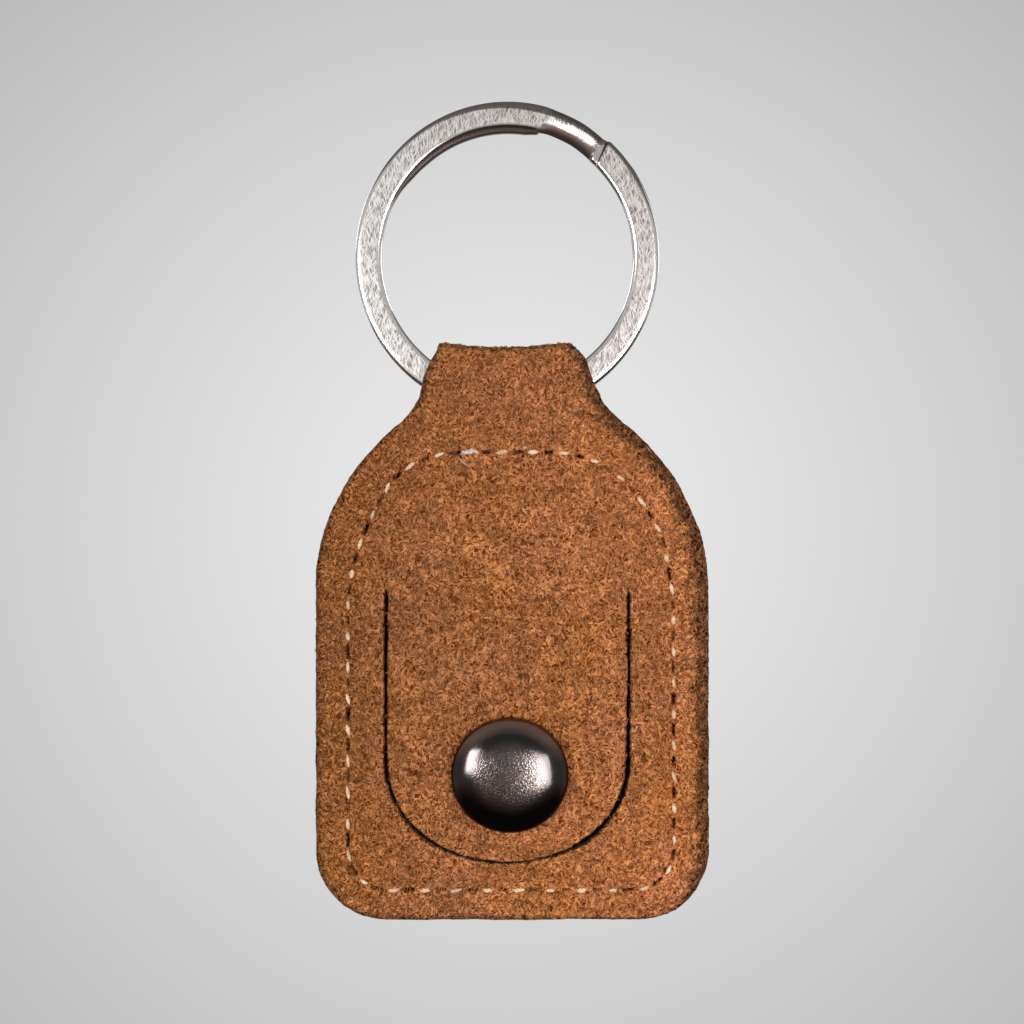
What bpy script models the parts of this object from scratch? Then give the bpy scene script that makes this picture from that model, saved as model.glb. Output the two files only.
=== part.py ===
"""Coin holder keychain: a suede fob folded over a flat split ring, with a U-shaped tongue
that a press stud holds shut over a coin pocket.

Metres, +Z up. The fob hangs from its ring and its front faces -Y. The origin is the point on
the ring's inner wall, at the top, where a hook or a peg carries it.
"""

import bpy
import bmesh
from math import asin, atan2, ceil, cos, hypot, pi, radians, sin, sqrt
from mathutils import Matrix, Vector

# Split ring: flat wire, a little under two turns, front coil and back coil face to face
RING_OUTER_DIAMETER = 0.032
RING_BAND_WIDTH = 0.0027
COIL_THICKNESS = 0.00115
COIL_GAP = 0.0001
WIRE_EDGE_ROUNDING = 0.00028
WIRE_SHARP_ANGLE = radians(30)
RING_STEPS_PER_TURN = 48
# Angles clockwise from the top, as seen from the front
FRONT_END_ANGLE = radians(42.6)
JOGGLE_START_ANGLE = radians(18.5)
JOGGLE_END_ANGLE = radians(39.5)
BACK_END_ANGLE = radians(17)

# Clearances
SEAT_GAP = 0.00025
THREAD_LIFT = 0.0001
RING_CLEARANCE = 0.0002
HINGE_CLEARANCE = 0.0003
CUT_OVERRUN = 0.001

# Leather strip, folded over the ring
LEATHER = 0.0011
LAYER_GAP = 0.0003
LEATHER_WIDTH = 0.0412
POUCH_OFFSET = 0.0004
CORNER_RADIUS = 0.0074
SIDE_LENGTH = 0.0354
SHOULDER_RISE = 0.0067
NECK_TOP_WIDTH = 0.0152
FOLD_SIDE_DEPTH = 0.0024
NECK_FOOT_WIDTH = 0.0192
NECK_FOOT_RISE = 0.0039
NECK_BLEND_WIDTH = 0.0246
FOLD_INNER_RADIUS = 0.0010
FOLD_STEP_ANGLE = radians(18)
ARC_STEP = 0.0026
BEND_STEPS = 4
LEATHER_SHARP_ANGLE = radians(40)

# Living hinge in the neck, under the ring
NECK_HINGE_DROP = 0.0038
NECK_LAYER_GAP = 0.0008
NECK_STRAIGHT = 0.0007
NECK_LEG_STEPS = 6

# Seam and its lockstitches
SEAM_TOP_DROP = 0.0015
SEAM_INSET = 0.0034
SEAM_BOTTOM_INSET = 0.00315
SEAM_ARCH_DROP = 0.0008
SEAM_TOP_WIDTH = 0.009
SEAM_BEND_ANGLE = radians(42)
STITCH_PITCH = 0.0033
THREAD_DIAMETER = 0.0004
DIP_RUN = 0.00075
DIP_FLOOR_RUN = 0.00015
DIP_FLOOR = 0.00048
SLIT_LENGTH = 0.0019
SLIT_SIDE_CLEARANCE = 0.00015

# Pocket and tongue
POCKET_RAMP = 0.0065
TONGUE_MARGIN = 0.0045
TONGUE_TOP_DROP = 0.0005
TONGUE_BOTTOM_MARGIN = 0.0031
TONGUE_TIP_RISE = 0.0107
TONGUE_TIP_STEP_SHARE = 0.1
TONGUE_SLIT = 0.00045
SHEET_GRID = 0.0034

# Press stud
SNAP_OFFSET = 0.00025
SNAP_HEIGHT_ABOVE_SEAM = 0.0125
CAP_DIAMETER = 0.0117
CAP_RIM = 0.0007
CAP_DOME_RISE = 0.0021
CAP_DOME_STEPS = 6
CAP_WALL = 0.0005
CAP_RIM_ROUNDING = 0.0003
CAP_POST_DIAMETER = 0.0026
CAP_CLENCH_DIAMETER = 0.0038
CAP_CLENCH_THICKNESS = 0.0003
LEATHER_HOLE_CLEARANCE = 0.0003
SOCKET_DIAMETER = 0.0100
SOCKET_HEIGHT = 0.0022
SOCKET_WALL = 0.0004
SOCKET_LIP_THICKNESS = 0.0004
SOCKET_MOUTH_DIAMETER = 0.0053
SOCKET_SHOULDER_DIAMETER = 0.0072
SPRING_WIRE = 0.00045
SPRING_OUTER_DIAMETER = 0.0058
SPRING_OPENING_ANGLE = radians(40)
SPRING_STEPS = 24
STUD_FLANGE_DIAMETER = 0.0095
STUD_FLANGE = 0.0005
STUD_HEAD_DIAMETER = 0.0042
STUD_NECK_DIAMETER = 0.0037
STUD_REACH = 0.00135
STUD_BEAD = 0.0006
STUD_BORE_DIAMETER = 0.0028
POST_FLANGE_DIAMETER = 0.0086
POST_FLANGE = 0.0005
POST_DIAMETER = 0.0024
TURNED_STEPS = 32

# Colours, each with its roughness and how metallic it is
STEEL_LOOK = ((0.62, 0.60, 0.58), 0.32, 1.0)
GUNMETAL_LOOK = ((0.16, 0.15, 0.16), 0.25, 1.0)
NICKEL_LOOK = ((0.55, 0.53, 0.50), 0.3, 1.0)
THREAD_LOOK = ((0.86, 0.66, 0.45), 0.8, 0.0)
SUEDE_LOOK = ((0.36, 0.17, 0.07), 0.95, 0.0)

# Places worked out from the sizes above
RING_OUTER_RADIUS = RING_OUTER_DIAMETER / 2
RING_INNER_RADIUS = RING_OUTER_RADIUS - RING_BAND_WIDTH
RING_CENTRE_Z = -RING_INNER_RADIUS
RING_BOTTOM_Z = RING_CENTRE_Z - RING_OUTER_RADIUS
RING_HALF_THICKNESS = COIL_THICKNESS + COIL_GAP / 2

HALF_WIDTH = LEATHER_WIDTH / 2
NECK_HINGE_Z = RING_BOTTOM_Z - NECK_HINGE_DROP
SEAM_TOP_Z = NECK_HINGE_Z - SEAM_TOP_DROP
ARCH_Z = SEAM_TOP_Z + SHOULDER_RISE - HALF_WIDTH
POUCH_BOTTOM_Z = ARCH_Z - SIDE_LENGTH
SEAM_HALF_WIDTH = HALF_WIDTH - SEAM_INSET
SEAM_ARCH_Z = ARCH_Z - SEAM_ARCH_DROP
SEAM_BOTTOM_Z = POUCH_BOTTOM_Z + SEAM_BOTTOM_INSET
SEAM_CORNER_RADIUS = CORNER_RADIUS - (SEAM_INSET + SEAM_BOTTOM_INSET) / 2

# Depths, out from the plane between the two leather layers
SEAM_INNER_Y = LAYER_GAP / 2
SEAM_OUTER_Y = SEAM_INNER_Y + LEATHER
NECK_HALF_THICKNESS = NECK_LAYER_GAP / 2 + LEATHER
LOOP_INNER_Y = RING_HALF_THICKNESS + RING_CLEARANCE
POCKET_GAP = SEAT_GAP + SOCKET_HEIGHT + SEAT_GAP + STUD_FLANGE + SEAT_GAP
POCKET_BULGE = (POCKET_GAP - LAYER_GAP) / 2
POCKET_INNER_Y = SEAM_INNER_Y + POCKET_BULGE
POCKET_OUTER_Y = POCKET_INNER_Y + LEATHER

# Inside the fold, the highest point that clears the ring where it leaves the neck's sides
FOLD_REACH = NECK_TOP_WIDTH / 2 + POUCH_OFFSET
FOLD_INNER_TOP_Z = RING_CENTRE_Z - sqrt((RING_INNER_RADIUS - RING_CLEARANCE) ** 2 - FOLD_REACH ** 2)

TONGUE_TOP_Z = ARCH_Z - TONGUE_TOP_DROP
TONGUE_HALF_WIDTH = SEAM_HALF_WIDTH - TONGUE_MARGIN
TONGUE_BOTTOM_Z = SEAM_BOTTOM_Z + TONGUE_BOTTOM_MARGIN
TONGUE_TIP_Z = TONGUE_BOTTOM_Z + TONGUE_TIP_RISE
SNAP_Z = SEAM_BOTTOM_Z + SNAP_HEIGHT_ABOVE_SEAM
TONGUE_HINGE_Y = -POCKET_OUTER_Y

MERGE_DISTANCE = LEATHER / 10000


def new_collection(name):
    collection = bpy.data.collections.new(name)
    bpy.context.scene.collection.children.link(collection)
    return collection


def material(name, look):
    colour, roughness, metallic = look
    made = bpy.data.materials.new(name)
    made.use_nodes = True
    shader = made.node_tree.nodes["Principled BSDF"]
    shader.inputs["Base Color"].default_value = (*colour, 1.0)
    shader.inputs["Roughness"].default_value = roughness
    shader.inputs["Metallic"].default_value = metallic
    made.diffuse_color = (*colour, 1.0)
    return made


def empty(name, place, parent=None):
    """A parent empty on a joint's axis."""
    made = bpy.data.objects.new(name, None)
    parts.objects.link(made)
    made.parent = parent
    made.matrix_world = Matrix.Translation(place)
    made.empty_display_size = LEATHER
    bpy.context.view_layer.update()
    return made


def hang_on(part, parent):
    part.parent = parent
    part.matrix_parent_inverse = parent.matrix_world.inverted()


def part_from_mesh(name, mesh, finish, parent=None):
    made = bpy.data.objects.new(name, mesh)
    parts.objects.link(made)
    mesh.materials.clear()
    mesh.materials.append(finish)
    if parent:
        hang_on(made, parent)
    return made


def cutter_from_mesh(name, mesh):
    made = bpy.data.objects.new(name, mesh)
    cutters.objects.link(made)
    made.hide_render = True
    made.display_type = "WIRE"
    return made


def evaluated_mesh(obj):
    graph = bpy.context.evaluated_depsgraph_get()
    return bpy.data.meshes.new_from_object(obj.evaluated_get(graph))


def mesh_of_curve(name, data, matrix):
    """Makes a curve into a closed mesh in world space and removes the curve."""
    curve = bpy.data.objects.new(name + "_curve", data)
    bpy.context.scene.collection.objects.link(curve)
    mesh = evaluated_mesh(curve)
    bpy.data.objects.remove(curve)
    made = bmesh.new()
    made.from_mesh(mesh)
    bmesh.ops.remove_doubles(made, verts=made.verts, dist=MERGE_DISTANCE)
    bmesh.ops.recalc_face_normals(made, faces=made.faces)
    bmesh.ops.transform(made, matrix=matrix, verts=made.verts)
    made.to_mesh(mesh)
    made.free()
    mesh.name = name
    return mesh


def plate_mesh(name, outline, y_from, y_to):
    """A flat plate: an outline of (x, z) points between two depths."""
    data = bpy.data.curves.new(name, "CURVE")
    data.dimensions = "2D"
    data.fill_mode = "BOTH"
    data.extrude = abs(y_to - y_from) / 2
    spline = data.splines.new("POLY")
    spline.points.add(len(outline) - 1)
    for point, (x, z) in zip(spline.points, outline):
        point.co = (x, z, 0, 1)
    spline.use_cyclic_u = True
    stand = Matrix.Translation((0, (y_from + y_to) / 2, 0)) @ Matrix.Rotation(pi / 2, 4, "X")
    return mesh_of_curve(name, data, stand)


def cylinder_mesh(name, radius, length, matrix, steps=TURNED_STEPS):
    made = bmesh.new()
    bmesh.ops.create_cone(made, cap_ends=True, segments=steps, radius1=radius, radius2=radius,
                          depth=length, matrix=matrix)
    mesh = bpy.data.meshes.new(name)
    made.to_mesh(mesh)
    made.free()
    return mesh


def boolean(obj, cutter, operation="DIFFERENCE"):
    step = obj.modifiers.new(cutter.name, "BOOLEAN")
    step.operation = operation
    step.solver = "EXACT"
    step.object = cutter


def apply_modifiers(obj):
    mesh = evaluated_mesh(obj)
    obj.modifiers.clear()
    obj.data = mesh


def smooth_share(value):
    """Rises from 0 to 1 with level ends."""
    held = min(max(value, 0.0), 1.0)
    return held * held * (3 - 2 * held)


def arc(centre, radius, start, end, step=ARC_STEP):
    """Points on an arc, angles from +X towards +Z, both ends included."""
    count = max(2, ceil(abs(end - start) * radius / step))
    turns = [start + (end - start) * i / count for i in range(count + 1)]
    return [(centre[0] + radius * cos(turn), centre[1] + radius * sin(turn)) for turn in turns]


def bend(start, start_way, end, end_way):
    """A smooth corner: a quadratic curve between two points, whose control is where their
    two straight directions meet."""
    cross = start_way[0] * end_way[1] - start_way[1] * end_way[0]
    gap = (end[0] - start[0], end[1] - start[1])
    along = (gap[0] * end_way[1] - gap[1] * end_way[0]) / cross
    corner = (start[0] + along * start_way[0], start[1] + along * start_way[1])
    points = []
    for i in range(1, BEND_STEPS):
        t = i / BEND_STEPS
        weights = ((1 - t) ** 2, 2 * t * (1 - t), t * t)
        points.append(tuple(weights[0] * start[k] + weights[1] * corner[k] + weights[2] * end[k]
                            for k in (0, 1)))
    return points


def both_sides(half):
    """An outline from its right half, which runs from the top to the bottom."""
    mirrored = [(-x, z) for x, z in reversed(half) if x > 0]
    return [(x + POUCH_OFFSET, z) for x, z in half + mirrored]


def leather_outline():
    """The silhouette of the folded strip, from above the fold to the bottom corners."""
    fold_top = FOLD_INNER_TOP_Z + LEATHER
    above = (NECK_TOP_WIDTH / 2, fold_top + CUT_OVERRUN)
    fold_side = (NECK_TOP_WIDTH / 2, fold_top - FOLD_SIDE_DEPTH)
    foot = (NECK_FOOT_WIDTH / 2, NECK_HINGE_Z + NECK_FOOT_RISE)
    neck_way = (foot[0] - fold_side[0], foot[1] - fold_side[1])
    blend_angle = pi / 2 - asin(NECK_BLEND_WIDTH / 2 / HALF_WIDTH)
    shoulder = arc((0, ARCH_Z), HALF_WIDTH, blend_angle, 0)
    tangent = (sin(blend_angle), -cos(blend_angle))
    blend = bend(foot, neck_way, shoulder[0], tangent)
    corner = arc((HALF_WIDTH - CORNER_RADIUS, POUCH_BOTTOM_Z + CORNER_RADIUS), CORNER_RADIUS,
                 0, -pi / 2)
    return both_sides([above, fold_side, foot, *blend, *shoulder, *corner])


def seam_outline(step=ARC_STEP):
    """The closed line of the seam: a short straight top, rounded into the shoulders."""
    top = (SEAM_TOP_WIDTH / 2, SEAM_TOP_Z)
    shoulder = arc((0, SEAM_ARCH_Z), SEAM_HALF_WIDTH, SEAM_BEND_ANGLE, 0, step)
    tangent = (sin(SEAM_BEND_ANGLE), -cos(SEAM_BEND_ANGLE))
    rounding = bend(top, (1, 0), shoulder[0], tangent)
    centre = (SEAM_HALF_WIDTH - SEAM_CORNER_RADIUS, SEAM_BOTTOM_Z + SEAM_CORNER_RADIUS)
    corner = arc(centre, SEAM_CORNER_RADIUS, 0, -pi / 2, step)
    return both_sides([top, *rounding, *shoulder, *corner])


def tongue_outline(grow, top_z):
    """The tongue: straight sides down to a half-oval tip. It is centred on the ring."""
    half = TONGUE_HALF_WIDTH + grow
    tip = TONGUE_TIP_RISE + grow
    swing = arc((0, 0), 1, 0, -pi, TONGUE_TIP_STEP_SHARE)
    oval = [(half * x, TONGUE_TIP_Z + tip * z) for x, z in swing]
    return [(half, top_z), *oval, (-half, top_z)]


SEAM_LINE = seam_outline()


def distance_inside_seam(x, z):
    """How far a point lies inside the seam; negative outside it."""
    nearest = None
    inside = False
    for (ax, az), (bx, bz) in zip(SEAM_LINE, SEAM_LINE[1:] + SEAM_LINE[:1]):
        run = (bx - ax, bz - az)
        share = ((x - ax) * run[0] + (z - az) * run[1]) / (run[0] ** 2 + run[1] ** 2)
        share = min(max(share, 0.0), 1.0)
        away = hypot(x - ax - share * run[0], z - az - share * run[1])
        nearest = away if nearest is None else min(nearest, away)
        if (az > z) != (bz > z) and x < ax + (z - az) / run[1] * run[0]:
            inside = not inside
    return nearest if inside else -nearest


def layer_offset(x, z):
    """How far a leather layer stands out beyond its place at the seam."""
    pocket = POCKET_BULGE * smooth_share(distance_inside_seam(x, z) / POCKET_RAMP)
    neck_share = smooth_share((z - SEAM_TOP_Z) / (NECK_HINGE_Z - SEAM_TOP_Z))
    return pocket + (NECK_LAYER_GAP - LAYER_GAP) / 2 * neck_share


def stitch_places():
    """Places and directions of the stitch holes, evenly spaced round the seam."""
    line = [Vector((x, z)) for x, z in seam_outline(ARC_STEP / 4)]
    line.append(line[0])
    lengths = [(b - a).length for a, b in zip(line, line[1:])]
    total = sum(lengths)
    count = round(total / STITCH_PITCH)
    places = []
    for index in range(count):
        left = total * (index + 1 / 2) / count
        for a, b, length in zip(line, line[1:], lengths):
            if left <= length:
                places.append((a.lerp(b, left / length), (b - a).normalized()))
                break
            left -= length
    return places


def split_ring():
    """Flat wire that starts on the front coil, goes round clockwise, dips at the joggle under
    its own front end and goes round again as the back coil."""
    full = 2 * pi
    start = FRONT_END_ANGLE
    dip_start = JOGGLE_START_ANGLE + full
    dip_end = JOGGLE_END_ANGLE + full
    end = BACK_END_ANGLE + 2 * full
    layer_y = (COIL_THICKNESS + COIL_GAP) / 2
    steps = round((end - start) / full * RING_STEPS_PER_TURN)
    middle_radius = (RING_OUTER_RADIUS + RING_INNER_RADIUS) / 2

    section = bpy.data.curves.new("wire_section", "CURVE")
    section.dimensions = "2D"
    corners = section.splines.new("POLY")
    half_band = RING_BAND_WIDTH / 2
    half_coil = COIL_THICKNESS / 2
    flat_band = half_band - WIRE_EDGE_ROUNDING
    flat_coil = half_coil - WIRE_EDGE_ROUNDING
    shape = [(half_band, -flat_coil), (half_band, flat_coil), (flat_band, half_coil),
             (-flat_band, half_coil), (-half_band, flat_coil), (-half_band, -flat_coil),
             (-flat_band, -half_coil), (flat_band, -half_coil)]
    corners.points.add(len(shape) - 1)
    for point, (x, y) in zip(corners.points, shape):
        point.co = (x, y, 0, 1)
    corners.use_cyclic_u = True
    section_object = bpy.data.objects.new("wire_section", section)
    cutters.objects.link(section_object)
    section_object.hide_render = True

    data = bpy.data.curves.new("ring_wire", "CURVE")
    data.dimensions = "3D"
    data.twist_mode = "Z_UP"
    data.bevel_mode = "OBJECT"
    data.bevel_object = section_object
    data.use_fill_caps = True
    wire = data.splines.new("POLY")
    wire.points.add(steps)
    for index, point in enumerate(wire.points):
        turn = start + (end - start) * index / steps
        depth = layer_y * (1 - 2 * smooth_share((turn - dip_start) / (dip_end - dip_start)))
        point.co = (middle_radius * sin(turn), middle_radius * cos(turn), depth, 1)
    stand = Matrix.Translation((0, 0, RING_CENTRE_Z)) @ Matrix.Rotation(pi / 2, 4, "X")
    mesh = mesh_of_curve("split_ring", data, stand)
    bpy.data.objects.remove(section_object)
    mesh.shade_smooth()
    mesh.set_sharp_from_angle(angle=WIRE_SHARP_ANGLE)
    return part_from_mesh("split_ring", mesh, steel)


def fold_profile():
    """Half of the fold's middle line, as (y, z), from the neck's living hinge up the back leg
    and over to the middle of the top."""
    leg = LOOP_INNER_Y + LEATHER / 2
    foot = NECK_LAYER_GAP / 2 + LEATHER / 2
    start_z = NECK_HINGE_Z + NECK_STRAIGHT
    top_z = FOLD_INNER_TOP_Z + LEATHER / 2
    bend_radius = FOLD_INNER_RADIUS + LEATHER / 2
    points = [(foot, NECK_HINGE_Z)]
    for i in range(NECK_LEG_STEPS + 1):
        share = i / NECK_LEG_STEPS
        points.append((foot + (leg - foot) * smooth_share(share),
                       start_z + (RING_BOTTOM_Z - start_z) * share))
    points.extend(arc((leg - bend_radius, top_z - bend_radius), bend_radius, 0, pi / 2,
                      bend_radius * FOLD_STEP_ANGLE))
    return points


def leather_silhouette_cutter():
    depth = POCKET_OUTER_Y + CUT_OVERRUN
    return cutter_from_mesh("leather_silhouette",
                            plate_mesh("leather_silhouette", leather_outline(), -depth, depth))


def ring_loop(silhouette):
    """The fold over the ring: a bent sheet, given the leather's thickness and the neck's
    silhouette, with its ends hollowed round the neck's hinge axis."""
    half = fold_profile()
    profile = [(-y, z) for y, z in half] + [(y, z) for y, z in reversed(half)]
    made = bmesh.new()
    rows = []
    for x in (POUCH_OFFSET - HALF_WIDTH, POUCH_OFFSET + HALF_WIDTH):
        rows.append([made.verts.new((x, y, z)) for y, z in profile])
    for i in range(len(profile) - 1):
        made.faces.new((rows[0][i], rows[0][i + 1], rows[1][i + 1], rows[1][i]))
    mesh = bpy.data.meshes.new("ring_loop")
    made.to_mesh(mesh)
    made.free()
    loop = part_from_mesh("ring_loop", mesh, material("suede_loop", SUEDE_LOOK))
    thick = loop.modifiers.new("thickness", "SOLIDIFY")
    thick.thickness = LEATHER
    thick.offset = 0
    thick.use_even_offset = True
    turn = Matrix.Translation((POUCH_OFFSET, 0, NECK_HINGE_Z)) @ Matrix.Rotation(pi / 2, 4, "Y")
    hollow = cylinder_mesh("neck_hollow", NECK_HALF_THICKNESS + HINGE_CLEARANCE,
                           LEATHER_WIDTH + CUT_OVERRUN, turn)
    boolean(loop, cutter_from_mesh("neck_hollow", hollow))
    boolean(loop, silhouette, "INTERSECT")
    apply_modifiers(loop)
    loop.data.shade_smooth()
    loop.data.set_sharp_from_angle(angle=LEATHER_SHARP_ANGLE)
    hang_on(loop, ring_axis)
    return loop


def stitch_hole_cutter(places):
    """One cutter with a narrow slot for each stitch, along the seam."""
    made = bmesh.new()
    depth = 2 * (SEAM_OUTER_Y + CUT_OVERRUN)
    for place, way in places:
        turn = Matrix.Rotation(-atan2(way.y, way.x), 4, "Y")
        size = Matrix.Diagonal((SLIT_LENGTH, depth, THREAD_DIAMETER + 2 * SLIT_SIDE_CLEARANCE, 1))
        bmesh.ops.create_cube(made, size=1,
                              matrix=Matrix.Translation((place.x, 0, place.y)) @ turn @ size)
    mesh = bpy.data.meshes.new("stitch_holes")
    made.to_mesh(mesh)
    made.free()
    return cutter_from_mesh("stitch_holes", mesh)


def neck_rounding_cutter():
    """Rounds the sewn layers' top ends about the neck's hinge axis: a block above the axis
    with a round hollow in its underside."""
    across = LEATHER_WIDTH + CUT_OVERRUN
    height = FOLD_INNER_TOP_Z + LEATHER + 2 * CUT_OVERRUN - NECK_HINGE_Z
    made = bmesh.new()
    size = Matrix.Diagonal((across, 2 * (NECK_HALF_THICKNESS + CUT_OVERRUN), height, 1))
    place = Matrix.Translation((POUCH_OFFSET, 0, NECK_HINGE_Z + height / 2))
    bmesh.ops.create_cube(made, size=1, matrix=place @ size)
    mesh = bpy.data.meshes.new("neck_rounding")
    made.to_mesh(mesh)
    made.free()
    block = cutter_from_mesh("neck_rounding", mesh)
    turn = Matrix.Translation((POUCH_OFFSET, 0, NECK_HINGE_Z)) @ Matrix.Rotation(pi / 2, 4, "Y")
    core = cylinder_mesh("neck_core", NECK_HALF_THICKNESS, across + CUT_OVERRUN, turn)
    boolean(block, cutter_from_mesh("neck_core", core))
    apply_modifiers(block)
    return block


def snap_hole_cutter(diameter):
    turn = Matrix.Translation((SNAP_OFFSET, 0, SNAP_Z)) @ Matrix.Rotation(pi / 2, 4, "X")
    length = 2 * (POCKET_OUTER_Y + CUT_OVERRUN)
    return cutter_from_mesh("snap_hole", cylinder_mesh("snap_hole", diameter / 2, length, turn))


def leather_sheet(name, side):
    """A flat leather layer with a grid of edges, so that it can be shaped afterwards. Side is
    -1 for the front layer and 1 for the back layer."""
    outline = leather_outline()
    mesh = plate_mesh(name, outline, side * SEAM_INNER_Y, side * SEAM_OUTER_Y)
    made = bmesh.new()
    made.from_mesh(mesh)
    columns = ceil(HALF_WIDTH / SHEET_GRID)
    rows = ceil((NECK_HINGE_Z - POUCH_BOTTOM_Z) / SHEET_GRID)
    cuts = [(Vector((POUCH_OFFSET + HALF_WIDTH * i / columns, 0, 0)), Vector((1, 0, 0)))
            for i in range(1 - columns, columns)]
    cuts += [(Vector((0, 0, POUCH_BOTTOM_Z + (NECK_HINGE_Z - POUCH_BOTTOM_Z) * i / rows)),
              Vector((0, 0, 1))) for i in range(1, rows)]
    for place, way in cuts:
        bmesh.ops.bisect_plane(made, geom=made.verts[:] + made.edges[:] + made.faces[:],
                               plane_co=place, plane_no=way, dist=MERGE_DISTANCE)
    made.to_mesh(mesh)
    made.free()
    return mesh


def shape_layer(obj, side):
    """Moves each point of a cut layer out to its place over the pocket and at the neck."""
    apply_modifiers(obj)
    made = bmesh.new()
    made.from_mesh(obj.data)
    bmesh.ops.triangulate(made, faces=made.faces)
    for vert in made.verts:
        vert.co.y += side * layer_offset(vert.co.x, vert.co.z)
    made.to_mesh(obj.data)
    made.free()
    obj.data.shade_smooth()
    obj.data.set_sharp_from_angle(angle=LEATHER_SHARP_ANGLE)


def leather_layers(places):
    holes = stitch_hole_cutter(places)
    rounding = neck_rounding_cutter()
    depth = POCKET_OUTER_Y + CUT_OVERRUN
    half_slit = TONGUE_SLIT / 2
    half_hinge = HINGE_CLEARANCE / 2
    wide = tongue_outline(half_slit, TONGUE_TOP_Z + half_hinge)
    narrow = tongue_outline(-half_slit, TONGUE_TOP_Z - half_hinge)
    opening = cutter_from_mesh("tongue_opening", plate_mesh("tongue_opening", wide, -depth, 0))
    tongue_shape = cutter_from_mesh("tongue_shape",
                                    plate_mesh("tongue_shape", narrow, -depth, depth))
    cap_hole = snap_hole_cutter(CAP_POST_DIAMETER + 2 * LEATHER_HOLE_CLEARANCE)
    post_hole = snap_hole_cutter(POST_DIAMETER + 2 * LEATHER_HOLE_CLEARANCE)

    front = part_from_mesh("front_panel", leather_sheet("front_panel", -1),
                           material("suede_front", SUEDE_LOOK))
    for cutter in (opening, holes, rounding):
        boolean(front, cutter)
    shape_layer(front, -1)

    back = part_from_mesh("back_panel", leather_sheet("back_panel", 1),
                          material("suede_back", SUEDE_LOOK))
    for cutter in (holes, rounding, post_hole):
        boolean(back, cutter)
    shape_layer(back, 1)

    tongue = part_from_mesh("flap_tongue", leather_sheet("flap_tongue", -1),
                            material("suede_tongue", SUEDE_LOOK))
    boolean(tongue, tongue_shape, "INTERSECT")
    boolean(tongue, cap_hole)
    shape_layer(tongue, -1)

    hang_on(front, neck_axis)
    hang_on(back, neck_axis)
    hang_on(tongue, tongue_axis)


def seam_thread(name, side, places):
    """One of the lockstitch's two threads: it lies on the leather between the holes and dips
    into each hole to meet the other one halfway."""
    lie_y = side * (SEAM_OUTER_Y + THREAD_LIFT + THREAD_DIAMETER / 2)
    dip_y = side * DIP_FLOOR
    data = bpy.data.curves.new(name, "CURVE")
    data.dimensions = "3D"
    data.bevel_depth = THREAD_DIAMETER / 2
    data.bevel_resolution = 0
    spline = data.splines.new("POLY")
    dip = [(-DIP_RUN, lie_y), (-DIP_FLOOR_RUN, dip_y), (DIP_FLOOR_RUN, dip_y), (DIP_RUN, lie_y)]
    route = []
    for place, way in places:
        for run, y in dip:
            spot = place + way * run
            route.append((spot.x, y, spot.y, 1))
    spline.points.add(len(route) - 1)
    for point, co in zip(spline.points, route):
        point.co = co
    spline.use_cyclic_u = True
    mesh = mesh_of_curve(name, data, Matrix.Identity(4))
    mesh.shade_smooth()
    return part_from_mesh(name, mesh, thread_finish, neck_axis)


def turned(name, profile, closed, finish, base_y, parent):
    """A turned press-stud piece. Its profile is (radius, height) from the top down its outer
    side, with height measured towards the front from base_y."""
    mesh = bpy.data.meshes.new(name)
    edges = [(i, i + 1) for i in range(len(profile) - 1)]
    if closed:
        edges.append((len(profile) - 1, 0))
    mesh.from_pydata([(radius, 0, height) for radius, height in profile], edges, [])
    made = part_from_mesh(name, mesh, finish)
    stand = Matrix.Rotation(pi / 2, 4, "X")
    made.matrix_world = Matrix.Translation((SNAP_OFFSET, base_y, SNAP_Z)) @ stand
    bpy.context.view_layer.update()
    spin = made.modifiers.new("turn", "SCREW")
    spin.angle = 2 * pi
    spin.steps = TURNED_STEPS
    spin.render_steps = TURNED_STEPS
    spin.use_merge_vertices = True
    spin.merge_threshold = MERGE_DISTANCE
    spin.use_smooth_shade = True
    hang_on(made, parent)
    return made


def snap_cap():
    """The domed cap, hollow behind, with its post clenched behind the socket's front wall."""
    radius = CAP_DIAMETER / 2
    base_y = -POCKET_OUTER_Y - SEAT_GAP
    post = CAP_POST_DIAMETER / 2
    clench = CAP_CLENCH_DIAMETER / 2
    socket_wall_rear = SEAT_GAP + LEATHER + SEAT_GAP + SOCKET_WALL
    clench_top = -socket_wall_rear - SEAT_GAP / 2
    clench_bottom = clench_top - CAP_CLENCH_THICKNESS
    dome = []
    for i in range(CAP_DOME_STEPS + 1):
        turn = pi / 2 * (1 - i / CAP_DOME_STEPS)
        dome.append((radius * cos(turn), CAP_RIM + CAP_DOME_RISE * sin(turn)))
    profile = [*dome,
               (radius, CAP_RIM_ROUNDING),
               (radius - CAP_RIM_ROUNDING, 0),
               (radius - CAP_WALL - CAP_RIM_ROUNDING, 0),
               (radius - CAP_WALL - CAP_RIM_ROUNDING, CAP_RIM),
               (post, CAP_RIM),
               (post, clench_top),
               (clench, clench_top),
               (clench, clench_bottom),
               (0, clench_bottom)]
    return turned("snap_cap", profile, False, gunmetal, base_y, tongue_axis)


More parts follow.
